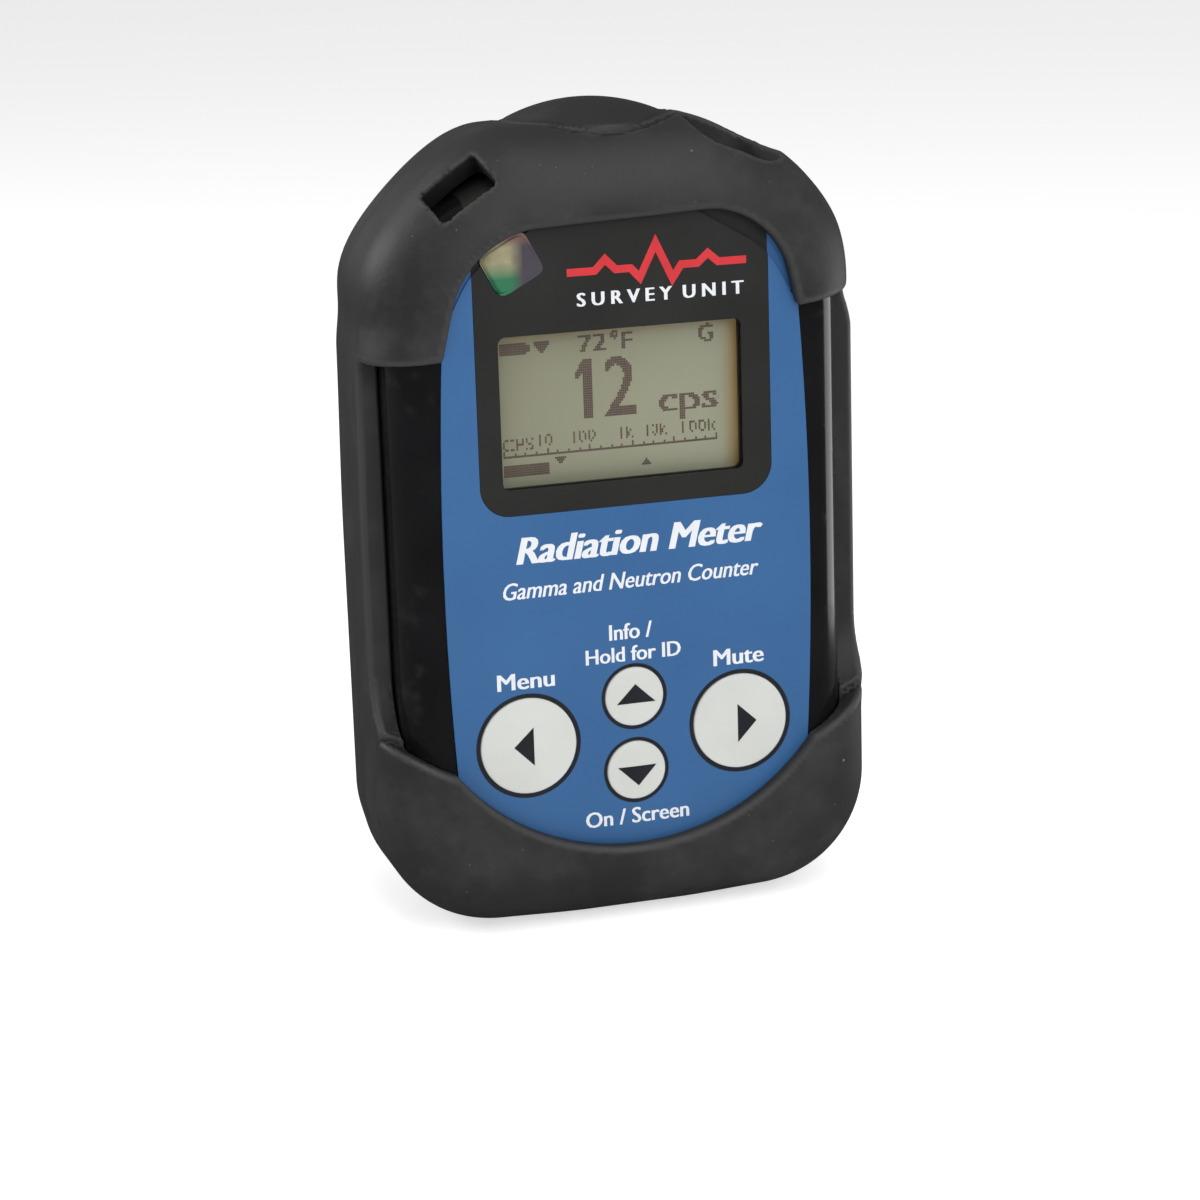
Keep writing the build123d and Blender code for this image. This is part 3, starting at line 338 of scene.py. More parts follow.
case_black = (0.006, 0.006, 0.007)
case_gloss = 0.14
panel_blue = (0.027, 0.12, 0.305)
panel_black = (0.018, 0.018, 0.017)
paint_low = 82.6 * mm
paint_high = 92.8 * mm
paint_black_half = 19.8 * mm
paint_edge = 0.1 * mm
polish = finish("polished_case", case_black, case_gloss, 0.0, 0.3, 90.0, 700.0, 0.002)
polish.node_tree.nodes["Principled BSDF"].inputs["Specular IOR Level"].default_value = 0.4
scuffs = pattern_node(polish, "ShaderNodeTexNoise", 260.0)
scuffs.inputs["Detail"].default_value = 9.0
lay_over(polish, scuffs.outputs["Fac"], (0.02, 0.02, 0.02), 0.6, 0.85, 0.3)
shell_axes = axes_on(polish)
aside_middle = polish.node_tree.nodes.new("ShaderNodeMath")
aside_middle.operation = "ABSOLUTE"
polish.node_tree.links.new(shell_axes.outputs["X"], aside_middle.inputs[0])
up_shell, aside_shell = shell_axes.outputs["Z"], aside_middle.outputs["Value"]
lay_over(polish, up_shell, panel_blue, paint_low - paint_edge, paint_low + paint_edge, 0.4)
lay_over(polish, up_shell, case_black, paint_high - paint_edge, paint_high + paint_edge, case_gloss)
lay_over(
    polish, aside_shell, panel_black,
    paint_black_half + paint_edge / 2, paint_black_half - paint_edge / 2, 0.4,
)
dress(polish, "front_shell")

back_skin = finish("spark_textured_case", (0.02, 0.02, 0.021), 0.5, 0.0, 0.25, 160.0, 1500.0, 0.03)
dress(back_skin, "rear_shell", "battery_door")

stainless = finish("stainless_screw", (0.6, 0.6, 0.6), 0.3, 1.0, 0.1, 400.0, 1500.0, 0.006)
lathe = pattern_node(stainless, "ShaderNodeTexNoise", 1200.0)
lay_over(stainless, lathe.outputs["Fac"], (0.35, 0.34, 0.33), 0.55, 0.75, 0.5)
dress(stainless, "door_screw")

ir_smoke = finish("infrared_window", (0.03, 0.006, 0.012), 0.08, 0.0, 0.2, 120.0, 500.0, 0.002)
dress(ir_smoke, "ir_window")


# ---- Display: backlight, liquid-crystal glass and window -------------------------------
# A dot-matrix display glass in front of a white backlight panel, behind a clear window
# glued into the front shell; the dots are squares of dark dye between the glasses.

backlight_white = finish("backlight_panel", (0.8, 0.8, 0.76), 0.5, 0.0, 0.04, 90.0, 1600.0, 0.004)
dress(backlight_white, "backlight_panel")

glass_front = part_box("lcd_module")[0].y
view_low = Vector((-16.7, 0.0, 59.7)) * mm
view_high = Vector((15.95, 0.0, 79.6)) * mm

glass_tone = (0.285, 0.285, 0.19)
pale_tone = (0.41, 0.42, 0.3)
amber_side = (0.4, 0.25, 0.07)
amber_top = (0.36, 0.26, 0.1)
glass = finish("display_glass", glass_tone, 0.3, 0.0, 0.05, 70.0, 2500.0, 0.003)
glass_axes = axes_on(glass)
slope = glass.node_tree.nodes.new("ShaderNodeMath")
slope.operation = "SUBTRACT"
glass.node_tree.links.new(glass_axes.outputs["X"], slope.inputs[0])
glass.node_tree.links.new(glass_axes.outputs["Z"], slope.inputs[1])
falling = slope.outputs["Value"]
lay_over(glass, falling, pale_tone, view_low.x - view_high.z, view_high.x - view_low.z)
for axis, tone, edge, inwards, outwards in (
    ("X", amber_side, view_high.x, 2.2 * mm, 0.4 * mm),
    ("Z", amber_top, view_high.z, 1.6 * mm, 1.0 * mm),
):
    lay_over(glass, glass_axes.outputs[axis], tone, edge - inwards, edge + outwards)
dress(glass, "lcd_module")

window = finish("clear_window", (0.02, 0.02, 0.02), 0.06, 0.0, 0.05, 60.0, 300.0, 0.001)
window.node_tree.nodes["Principled BSDF"].inputs["Alpha"].default_value = 0.07
dress(window, "display_lens")

dots_across = 128
dots_down = 64
dot_share = 0.9
dot_pitch = ((view_high.x - view_low.x) / dots_across, (view_high.z - view_low.z) / dots_down)
dot_thickness = 0.02 * mm


def letter_mesh(text, slant=0.0, thickness=0.0):
    """A line of letters as a mesh in its own plane, one unit of type high."""
    curve = bpy.data.curves.new("line", "FONT")
    curve.body = text
    curve.shear = slant
    curve.extrude = thickness
    curve.resolution_u = 3
    holder = bpy.data.objects.new("line", curve)
    made = bpy.data.meshes.new_from_object(holder)
    bpy.data.objects.remove(holder)
    made.calc_loop_triangles()
    corners = np.zeros(len(made.vertices) * 3)
    made.vertices.foreach_get("co", corners)
    triangles = np.zeros(len(made.loop_triangles) * 3, int)
    made.loop_triangles.foreach_get("vertices", triangles)
    return corners.reshape(-1, 3), triangles.reshape(-1, 3)


capital_height = np.ptp(letter_mesh("H")[0][:, 1])


def set_line(text, left, right, base, capital, slant=0.0, weight=0.0, thickness=0.0):
    """Letters between left and right, capitals this high above base, as corners and triangles.

    The line is scaled along x to its width and along y to its capitals, in millimetres. A
    heavier line is struck three times, each this weight to the side and a little higher.
    """
    corners, triangles = letter_mesh(text, slant, 0.01 if thickness else 0.0)
    share = (corners[:, 0] - corners[:, 0].min()) / np.ptp(corners[:, 0])
    across = share * (right - left - 2 * weight) + left + weight
    up = corners[:, 1] / capital_height * capital + base
    out = corners[:, 2] / 0.01 * thickness / 2
    strikes = [
        np.stack([across + shift * weight, up, out + 0.15 * thickness * shift], 1)
        for shift in ((-1, 0, 1) if weight else (0,))
    ]
    faces = [triangles + k * len(corners) for k in range(len(strikes))]
    return np.concatenate(strikes), np.concatenate(faces)


def polygon(points):
    """A flat convex shape as corners and a fan of triangles."""
    corners = np.array([(x, z, 0.0) for x, z in points])
    fan = [(0, i, i + 1) for i in range(1, len(corners) - 1)]
    return corners, np.array(fan)


def bar(left, right, low, high):
    """A filled rectangle."""
    return polygon([(left, low), (right, low), (right, high), (left, high)])


left, right, low, high = (v / mm for v in (view_low.x, view_high.x, view_low.z, view_high.z))
reading = [
    polygon([(-4.9, low + 8.2), (-3.8, low + 8.2), (-3.8, low + 15.8), (-4.9, low + 15.8)]),
    polygon([(-4.9, low + 15.8), (-6.1, low + 13.9), (-6.1, low + 13.0), (-4.9, low + 14.2)]),
    set_line("2", -2.1, 2.2, low + 8.2, 7.6, weight=0.14),
    set_line("cps", 5.2, 13.3, low + 8.0, 3.4, weight=0.14),
    set_line("72", -5.4, -1.6, high - 3.1, 2.3, weight=0.12),
    set_line("o", -1.1, -0.1, high - 1.7, 1.6, weight=0.1),
    set_line("F", 0.3, 1.9, high - 3.1, 2.3, weight=0.12),
    set_line("G", 10.8, 13.0, high - 3.0, 2.2, weight=0.12),
    set_line("CPS", -16.0, -11.9, low + 4.6, 1.7),
    set_line("10", -11.0, -9.3, low + 5.1, 1.5),
    set_line("100", -6.6, -3.5, low + 5.1, 1.5),
    set_line("1k", -0.2, 1.6, low + 5.1, 1.5),
    set_line("10k", 3.4, 6.2, low + 5.1, 1.5),
    set_line("100k", 8.4, 13.0, low + 5.1, 1.5),
    bar(-15.9, -12.3, high - 2.9, high - 1.2),
    bar(-12.3, -11.8, high - 2.5, high - 1.6),
    polygon([
        (-11.4, high - 1.5), (-10.3, high - 3.0), (-9.2, high - 1.5),
        (-9.7, high - 1.1), (-10.9, high - 1.1),
    ]),
    bar(-16.0, 13.2, low + 3.7, low + 3.95),
    bar(-16.0, -9.8, low + 1.3, low + 2.9),
    polygon([(-9.0, low + 3.3), (-8.3, low + 2.3), (-7.6, low + 3.3)]),
    polygon([(2.6, low + 1.3), (3.3, low + 2.2), (4.0, low + 1.3)]),
]
reading += [bar(x, x + 0.26, low + 3.7, low + 4.6) for x in np.linspace(-15.9, 12.9, 6)]
reading += [bar(x, x + 0.26, low + 3.7, low + 4.2) for x in np.linspace(-15.9, 12.9, 21)]

dot_x, dot_z = np.meshgrid(
    left + (np.arange(dots_across) + 0.5) * dot_pitch[0] / mm,
    low + (np.arange(dots_down) + 0.5) * dot_pitch[1] / mm,
    indexing="ij",
)


def covered(shape, x, z):
    """Which points lie inside any triangle of the shape, by the signs of three areas."""
    corners, triangles = shape
    a, b, c = (corners[triangles[:, k]][:, :2, None, None] for k in range(3))

    def side(p, q):
        return (q[:, 0] - p[:, 0]) * (z - p[:, 1]) - (q[:, 1] - p[:, 1]) * (x - p[:, 0])

    ab, bc, ca = side(a, b), side(b, c), side(c, a)
    inside = ((ab >= 0) & (bc >= 0) & (ca >= 0)) | ((ab <= 0) & (bc <= 0) & (ca <= 0))
    return inside.any(0)


lit = np.zeros(dot_x.shape, bool)
for shape in reading:
    lit |= covered(shape, dot_x, dot_z)
centres = np.stack([dot_x[lit] * mm, np.full(lit.sum(), glass_front), dot_z[lit] * mm], 1)
half_x, half_z = (0.5 * dot_share * p for p in dot_pitch)
box_corners = np.array([
    (sx * half_x, sy, sz * half_z)
    for sy in (0.0, -dot_thickness)
    for sx, sz in ((-1, -1), (1, -1), (1, 1), (-1, 1))
])
box_faces = np.array([
    (0, 1, 2, 3), (7, 6, 5, 4), (0, 4, 5, 1), (1, 5, 6, 2), (2, 6, 7, 3), (3, 7, 4, 0),
])
dot_corners = (centres[:, None] + box_corners).reshape(-1, 3)
dot_faces = (box_faces[None, :, ::-1] + 8 * np.arange(len(centres))[:, None, None]).reshape(-1, 4)


def new_piece(name, corners, faces, made, body, smooth=False):
    """A mesh piece from whole arrays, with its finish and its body."""
    mesh = bpy.data.meshes.new(name)
    mesh.from_pydata(corners.tolist(), [], [tuple(f) for f in faces.tolist()])
    mesh.materials.append(made)
    if smooth:
        mesh.shade_smooth()
    piece = bpy.data.objects.new(name, mesh)
    bpy.context.scene.collection.objects.link(piece)
    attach(piece, body)
    return piece


dye = finish("display_dye", (0.135, 0.092, 0.07), 0.5, 0.0, 0.1, 300.0, 2500.0, 0.001)
new_piece("display_dots", dot_corners, dot_faces, dye, "case")


# ---- Front film: blue overlay, black bezel and their print ------------------------------
# Polyester film printed from behind and bonded to the case, blue round the keys and
# black round the display; white legends, black key rings and a red trace stand on it.

film_blue = finish("blue_film", panel_blue, 0.4, 0.0, 0.05, 50.0, 2600.0, 0.006)
dress(film_blue, "front_overlay")
film_black = finish("black_film", panel_black, 0.4, 0.0, 0.12, 60.0, 2600.0, 0.006)
dress(film_black, "display_bezel")

film_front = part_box("front_overlay")[0].y
ink_thickness = 0.03


def printed(name, shapes, ink, body="case", front=film_front):
    """Ink standing on a face at depth front: each shape's (x, z, out) placed as one mesh."""
    corners, faces, count = [], [], 0
    for points, triangles in shapes:
        depth = front - (points[:, 2] + ink_thickness / 2) * mm
        corners.append(np.stack([points[:, 0] * mm, depth, points[:, 1] * mm], 1))
        faces.append(triangles + count)
        count += len(points)
    return new_piece(name, np.concatenate(corners), np.concatenate(faces), ink, body)


def prism(points):
    """A thin closed plate whose outline is this convex shape."""
    count = len(points)
    flat = np.array(points, float)
    corners = np.concatenate([
        np.column_stack([flat, np.full(count, side * ink_thickness / 2)]) for side in (1, -1)
    ])
    here = np.arange(count)
    after = (here + 1) % count
    walls = np.concatenate([
        np.stack([here, here + count, after], 1), np.stack([after, here + count, after + count], 1)
    ])
    fan = np.stack([np.zeros(count - 2, int), here[1:-1], here[2:]], 1)
    return corners, np.concatenate([fan, fan[:, ::-1] + count, walls])


def annulus(x, z, inner, outer, count=96):
    """A thin closed ring: four circles of corners joined by strips."""
    angle = np.arange(count) * 2 * np.pi / count
    loops = [(outer, 1), (outer, -1), (inner, -1), (inner, 1)]
    circle = np.stack([np.cos(angle), np.sin(angle)], 1)
    corners = np.concatenate([
        np.column_stack([(x, z) + r * circle, np.full(count, out * ink_thickness / 2)])
        for r, out in loops
    ])
    here = np.arange(count)
    after = (here + 1) % count
    faces = []
    for k in range(4):
        a, b = k * count, (k + 1) % 4 * count
        faces.append(np.stack([a + here, b + here, a + after], 1))
        faces.append(np.stack([a + after, b + here, b + after], 1))
    return corners, np.concatenate(faces)


ink_white = finish("white_ink", (0.74, 0.77, 0.8), 0.45, 0.0, 0.03, 300.0, 3000.0, 0.002)
ink_black = finish("black_ink", (0.014, 0.015, 0.02), 0.4, 0.0, 0.1, 300.0, 3000.0, 0.002)
ink_red = finish("red_ink", (0.62, 0.022, 0.03), 0.4, 0.0, 0.05, 300.0, 3000.0, 0.002)

legends = [
    ("Menu", -18.6, -10.8, 33.2, 2.2, 0.0, 0.09),
    ("Mute", 11.1, 18.2, 33.3, 2.2, 0.0, 0.09),
    ("Info /", -3.2, 2.7, 38.4, 2.1, 0.0, 0.07),
    ("Hold for ID", -6.5, 6.6, 35.4, 2.0, 0.0, 0.07),
    ("On / Screen", -7.2, 7.2, 13.0, 2.1, 0.0, 0.07),
    ("Radiation Meter", -15.4, 18.4, 49.9, 3.5, 0.25, 0.2),
    ("Gamma and Neutron Counter", -17.3, 17.7, 45.3, 2.2, 0.25, 0.05),
    ("S U R V E Y  U N I T", -6.1, 16.4, 82.8, 1.7, 0.0, 0.1),
]
white_lines = [
    set_line(text, x0, x1, base, cap, slant, weight, ink_thickness)
    for text, x0, x1, base, cap, slant, weight in legends
]
printed("panel_legends", white_lines, ink_white)

big_key_places = {"menu_key": (-14.65, 25.4), "mute_key": (14.65, 25.4)}
small_key_places = {"up_key": (0.0, 30.475), "down_key": (0.0, 20.325)}
rings = [annulus(x, z, 6.62, 7.1) for x, z in big_key_places.values()]
rings += [annulus(x, z, 4.12, 4.5) for x, z in small_key_places.values()]
printed("key_rings", rings, ink_black)

trace_points = [
    (-7.3, 87.2), (-3.6, 87.2), (-2.2, 88.6), (-0.8, 87.2), (1.2, 87.2), (2.4, 85.9), (4.6, 90.2),
    (6.8, 85.5), (8.0, 87.2), (10.2, 87.2), (11.6, 88.4), (13.0, 87.2), (16.8, 87.2),
]
trace_half = 0.5


def traced(points, half):
    """A thin closed band along a zigzag, mitred at each corner: two edges, each point moved
    aside by half along the mean of its neighbours' normals, over the cosine between them."""
    spine = np.array(points, float)
    runs = np.diff(spine, axis=0)
    runs /= np.linalg.norm(runs, axis=1)[:, None]
    aside = np.stack([-runs[:, 1], runs[:, 0]], 1)
    before = np.concatenate([aside[:1], aside])
    after = np.concatenate([aside, aside[-1:]])
    mitre = (before + after) / (1 + (before * after).sum(1))[:, None] * half
    count = len(spine)
    loops = [(1, 1), (-1, 1), (-1, -1), (1, -1)]
    corners = np.concatenate([
        np.column_stack([spine + side * mitre, np.full(count, out * ink_thickness / 2)])
        for side, out in loops
    ])
    here = np.arange(count - 1)
    faces = []
    for k in range(4):
        a, b = k * count, (k + 1) % 4 * count
        faces.append(np.stack([a + here, b + here, a + here + 1], 1))
        faces.append(np.stack([a + here + 1, b + here, b + here + 1], 1))
    last = count - 1
    ends = [(0, 2 * count, count), (0, 3 * count, 2 * count)]
    ends += [(last, count + last, 2 * count + last), (last, 2 * count + last, 3 * count + last)]
    return corners, np.concatenate(faces + [np.array(ends)])


printed("bezel_trace", [traced(trace_points, trace_half)], ink_red)


# ---- Keys ------------------------------------------------------------------------------
# Four moulded white caps, each with a crowned face, a retaining flange behind the front
# wall and a stem to its switch; the arrow is printed on the face.

key_cream = finish("key_plastic", (0.6, 0.61, 0.58), 0.38, 0.0, 0.03, 120.0, 2200.0, 0.006)
flange_front = -13.8
flange_back = -12.8
stem_radius = 1.6
edge_radius = 0.25
crown = 0.08


def turned(name, x, z, profile, made, body, count=128):
    """A turned piece: the profile's (radius, depth) points carried round a level axis."""
    angle = np.arange(count) * 2 * np.pi / count
    radius, depth = np.array(profile, float).T
    corners = np.stack([
        x + radius[:, None] * np.cos(angle),
        np.repeat(depth[:, None], count, 1),
        z + radius[:, None] * np.sin(angle),
    ], 2).reshape(-1, 3) * mm
    here = np.arange(count)
    after = (here + 1) % count
    rows = np.arange(len(profile) - 1)[:, None] * count
    faces = np.stack(
        [rows + here, rows + after, rows + count + after, rows + count + here], 2
    ).reshape(-1, 4)
    ends = [(x * mm, profile[end][1] * mm, z * mm) for end in (0, -1)]
    corners = np.concatenate([corners, ends])
    last = (len(profile) - 1) * count
    caps = [(len(corners) - 2, b, a) for a, b in zip(here, after)]
    caps += [(len(corners) - 1, last + a, last + b) for a, b in zip(here, after)]
    mesh_faces = [tuple(f) for f in faces.tolist()] + [tuple(int(v) for v in f) for f in caps]
    mesh = bpy.data.meshes.new(name)
    mesh.from_pydata(corners.tolist(), [], mesh_faces)
    mesh.materials.append(made)
    mesh.shade_smooth()
    mesh.set_sharp_from_angle(angle=math.radians(35))
    piece = bpy.data.objects.new(name, mesh)
    bpy.context.scene.collection.objects.link(piece)
    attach(piece, body)
    return piece


def key_profile(node, radius):
    """From the face's crown out over a rounded edge, down to the flange and along the stem."""
    low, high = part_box(node)
    front = low.y / mm
    flange = (high.x - low.x) / 2 / mm
    shares = np.linspace(0.02, 1, 12)
    face = [(s * (radius - edge_radius), front + crown * s**2) for s in shares]
    bend = np.linspace(0, np.pi / 2, 7)[1:]
    edge = [
        (radius - edge_radius * (1 - math.sin(b)), front + crown + edge_radius * (1 - math.cos(b)))
        for b in bend
    ]
    rest = [
        (radius, flange_front), (flange, flange_front), (flange, flange_back),
        (stem_radius, flange_back), (stem_radius, high.y / mm), (0.02, high.y / mm),
    ]
    return face + edge + rest


key_arrows = {
    "menu_key": [(-16.7, 25.4), (-14.0, 22.7), (-14.0, 27.9)],
    "mute_key": [(16.9, 25.3), (14.25, 27.8), (14.25, 22.5)],
    "up_key": [(0.1, 32.2), (-2.5, 29.6), (2.8, 29.6)],
    "down_key": [(0.2, 18.2), (2.7, 20.9), (-2.6, 20.9)],
}
for places, key_radius in ((big_key_places, 6.5), (small_key_places, 4.0)):
    for key, (key_x, key_z) in places.items():
        profile = key_profile(key, key_radius)
        cap = turned(key + "_cap", key_x, key_z, profile, key_cream, key)
        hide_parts(key)
        arrow_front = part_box(key)[0].y + 0.02 * mm
        printed(key + "_arrow", [prism(key_arrows[key])], ink_black, key, arrow_front)


# ---- Alarm light guide -------------------------------------------------------------------
# A clear moulded block with a bevelled square face, turned on the panel, that shows the
# two emitters under it as patches of green and amber; a flange holds it from behind.

guide_centre = (-14.9, 88.8)
guide_head = (0.4, 0.1)
head_grow = 0.3
guide_half = (3.1, 2.8)
guide_turn = math.radians(28.0)
guide_low, guide_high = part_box("alarm_light_guide")
guide_bevel = 0.45
squareness = 7.0


def squared_loop(half_x, half_z, count=64):
    """A rounded square: |x/a|^n + |z/b|^n = 1, by angle."""
    angle = np.arange(count) * 2 * np.pi / count
    across, up = np.cos(angle), np.sin(angle)
    reach = (np.abs(across) ** squareness + np.abs(up) ** squareness) ** (-1 / squareness)
    return np.stack([half_x * reach * across, half_z * reach * up], 1)


face, back = guide_low.y / mm, guide_high.y / mm
seat = film_front / mm - 0.05
flange_step = flange_front + 0.8
guide_steps = [
    (-3.0, face + 0.02, 1), (-1.5, face, 1), (head_grow - guide_bevel, face + 0.02, 1),
    (head_grow, face + guide_bevel, 1), (head_grow, seat, 1), (0.0, seat, 0),
    (0.0, flange_front, 0), (0.75, flange_front, 0), (0.75, flange_step, 0),
    (-0.4, flange_step, 0), (-0.4, back, 0), (-2.6, back, 0),
]
guide_loops = []
for grow, depth, head in guide_steps:
    loop = squared_loop(max(guide_half[0] + grow, 0.06), max(guide_half[1] + grow, 0.05))
    turned_x = loop[:, 0] * math.cos(guide_turn) - loop[:, 1] * math.sin(guide_turn)
    turned_x += guide_centre[0] + head * guide_head[0]
    turned_z = loop[:, 0] * math.sin(guide_turn) + loop[:, 1] * math.cos(guide_turn)
    turned_z += guide_centre[1] + head * guide_head[1]
    guide_loops.append(np.stack([turned_x, np.full(len(loop), depth), turned_z], 1) * mm)
guide_corners = np.concatenate(guide_loops)
ring_count = len(guide_loops[0])
ring_here = np.arange(ring_count)
ring_after = (ring_here + 1) % ring_count
guide_faces = [
    (k * ring_count + a, k * ring_count + b, (k + 1) * ring_count + b, (k + 1) * ring_count + a)
    for k in range(len(guide_steps) - 1)
    for a, b in zip(ring_here, ring_after)
]
last_ring = ring_here + (len(guide_steps) - 1) * ring_count
guide_mesh = bpy.data.meshes.new("alarm_window")
guide_mesh.from_pydata(
    guide_corners.tolist(),
    [],
    [tuple(int(v) for v in f) for f in guide_faces]
    + [tuple(int(v) for v in ring) for ring in (ring_here[::-1], last_ring)],
)
guide_plastic = finish("guide_plastic", (0.3, 0.27, 0.17), 0.1, 0.0, 0.2, 420.0, 800.0, 0.004)
guide_axes = axes_on(guide_plastic)
centre_x, centre_z = guide_centre[0] * mm, guide_centre[1] * mm
for axis, tone, start, end in (
    ("Z", (0.035, 0.17, 0.085), centre_z + 0.4 * mm, centre_z - 1.8 * mm),
    ("X", (0.07, 0.06, 0.075), centre_x + 0.2 * mm, centre_x + 1.9 * mm),
    ("Z", (0.2, 0.12, 0.11), centre_z + 2.2 * mm, centre_z + 3.4 * mm),
):
    lay_over(guide_plastic, guide_axes.outputs[axis], tone, start, end)
guide_mesh.materials.append(guide_plastic)
guide_mesh.set_sharp_from_angle(angle=math.radians(30))
alarm_window = bpy.data.objects.new("alarm_window", guide_mesh)
bpy.context.scene.collection.objects.link(alarm_window)
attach(alarm_window, "case")
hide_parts("alarm_light_guide")


# ---- Rubber boot -------------------------------------------------------------------------
# One moulding of soft black rubber stretched over the case: a hood, a cup and two side
# bands, with a grip dome on top, a slot for the alarm light on one shoulder and an
# opening over the sounder on the other. Edges show wear and painted highlight, hollows painted
# shade.

boot_low, boot_high = (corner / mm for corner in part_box("rubber_boot"))
shell_low = Vector(map(min, *(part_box(n)[0] for n in ("front_shell", "rear_shell")))) / mm
shell_high = Vector(map(max, *(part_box(n)[1] for n in ("front_shell", "rear_shell")))) / mm
boot_half = boot_high.x
boot_front, boot_back = boot_low.y, boot_high.y
boot_top = 105.3
roof_radius = 22.0
foot_radius = 15.5
foot_camber = 0.5
back_taper = 0.12
right_bulge = 0.7
left_draw = 0.4
hood_draw = 0.5
hood_round, cup_round, side_round, back_round = 11.0, 8.0, 9.0, 11.0
bevel_place, bevel_facing = (26.4, 97.8), (0.70, 0.714)
ridge_place, ridge_facing = (20.8, 102.8), (0.421, 0.907)
dome_top = boot_high.z + 0.25
dome_centre = 0.6
dome_sphere = 24.0
dome_half = 11.5
dome_rim = 0.8
crease_gap = 0.3
crease_radius = 0.4
hood_edge = 79.1
hood_edge_slope = 0.075
arch_top = 93.7
arch_slope = 0.04
arch_half = 23.6
arch_lean = 0.25
arch_radius = 8.7
arch_depth = -12.0
cup_centre = 41.0
cup_sweep = 30.7
cup_half = 24.6
cup_rise = 0.52
band_front = -8.0
parting_line = 0.0
lip_radius = 0.9
door_window_half, door_window_middle, door_window_corner = (15.5, 32.5), 45.8, 6.0
slot_place = (-20.4, -13.4, 98.5)
slot_half, slot_corner, slot_depth = (3.7, 2.4), 0.5, 8.0
sound_place = (18.2, -5.9, 103.3)
sound_half, sound_depth = (7.0, 8.2), 6.5
least_wall = 1.05


def rounded_max(a, b, r):
    """The larger of two distances, with the corner where both are zero rounded to radius r."""
    return np.minimum(np.maximum(a, b), -r) + np.hypot(np.maximum(a + r, 0), np.maximum(b + r, 0))


def blended_max(a, b, width):
    """The larger of two distances, eased over this width where they are alike."""
    near = np.maximum(width - np.abs(a - b), 0) / width
    return np.maximum(a, b) + near * near * width / 4


def eased(value, low, high):
    """Zero below low, one above high, and a smooth step between."""
    t = np.clip((value - low) / (high - low), 0, 1)
    return t * t * (3 - 2 * t)


def slanted(x, z, place, facing):
    """Distance in front of a plane that runs along y, through an (x, z) place and facing so."""
    return (x - place[0]) * facing[0] + (z - place[1]) * facing[1]


def boot_outside(x, y, z):
    """Distance to the outer skin: a rounded outline that is drawn in behind the parting line,
    with its front and back edges rounded to radii that change from the cup to the hood.

    Each shoulder is bevelled, and the right one has a second, flatter bevel above it that
    the sounder's opening is cut into. The right side swells a little between hood and cup,
    and the left side is drawn in towards the hood.
    """
    hood = eased(z, 76.0, 82.0)
    cup = 1 - eased(z, 24.0, 30.0)
    middle = 1 - hood - cup
    aside = np.abs(x)
    bulge = right_bulge * middle * eased(x, 0.0, 20.0)
    bulge = bulge - left_draw * eased(z, 50.0, 80.0) * eased(-x, 0.0, 20.0)
    side = aside - boot_half + hood_draw * hood - bulge
    outline = rounded_max(side, z - boot_top, roof_radius)
    left = blended_max(outline, slanted(aside, z, bevel_place, bevel_facing) + 0.4, 4.0)
    right = blended_max(outline, slanted(x, z, ridge_place, ridge_facing), 1.5)
    right = blended_max(right, slanted(x, z, bevel_place, bevel_facing) - 1.3, 3.0)
    outline = left + (right - left) * eased(x, -4.0, 6.0)
    outline = rounded_max(outline, foot_camber * eased(aside, 6.0, 22.0) - z, foot_radius)
    outline = outline + back_taper * np.maximum(y - parting_line, 0)
    front_round = hood_round * hood + cup_round * cup + side_round * middle
    skin = rounded_max(outline, boot_front - y, front_round)
    return rounded_max(skin, y - boot_back, back_round)


def grip_dome(x, y, z):
    """A cap of a sphere with its rim rounded down to an upright cylinder."""
    away = np.hypot(x - dome_centre, y)
    ball = np.hypot(away, z - dome_top + dome_sphere) - dome_sphere
    return np.maximum(rounded_max(ball, away - dome_half, dome_rim), boot_top - 6.0 - z)


def case_inside(x, y, z):
    """Distance to the case that fills the boot, with its shoulders and rounded edges."""
    aside = np.abs(x)
    outline = rounded_max(aside - shell_high.x, z - shell_high.z, 20.0)
    outline = blended_max(outline, slanted(aside, z, (24.2, 93.6), bevel_facing), 2.0)
    outline = rounded_max(outline, shell_low.z - z, 11.0)
    return rounded_max(rounded_max(outline, shell_low.y - y, 5.5), y - shell_high.y, 8.0)


def boot_mouth(x, y, z):
    """The front opening: an arch under the hood, the cup's curved lip, and two side windows."""
    aside = np.abs(x)
    arch_side = (aside - arch_half + arch_lean * (z - 80.0)) * 0.97
    arch = rounded_max(z - arch_slope * x - arch_top, arch_side, arch_radius)
    within = np.minimum(aside, cup_half)
    beyond = np.maximum(aside - cup_half, 0)
    lip = cup_centre - np.sqrt(cup_sweep**2 - within**2) + cup_rise * beyond
    above_lip = 0.9 * (lip - z)
    under_hood = z - hood_edge - hood_edge_slope * x
    windows = rounded_max(rounded_max(above_lip, y - band_front, 8.0), under_hood, 1.0)
    return np.minimum(windows, np.maximum(np.maximum(arch, above_lip), y - arch_depth))


def slab(a, b, round_corner):
    """Distance to a rounded rectangle whose sides lie where a and b reach round_corner."""
    beyond = np.hypot(np.maximum(a, 0), np.maximum(b, 0))
    return beyond + np.minimum(np.maximum(a, b), 0) - round_corner


def back_window(x, y, z):
    """The rounded rectangle at the back that shows the battery door."""
    across = np.abs(x) - door_window_half[0]
    up = np.abs(z - door_window_middle) - door_window_half[1]
    return np.maximum(slab(across, up, door_window_corner), 10.0 - y)


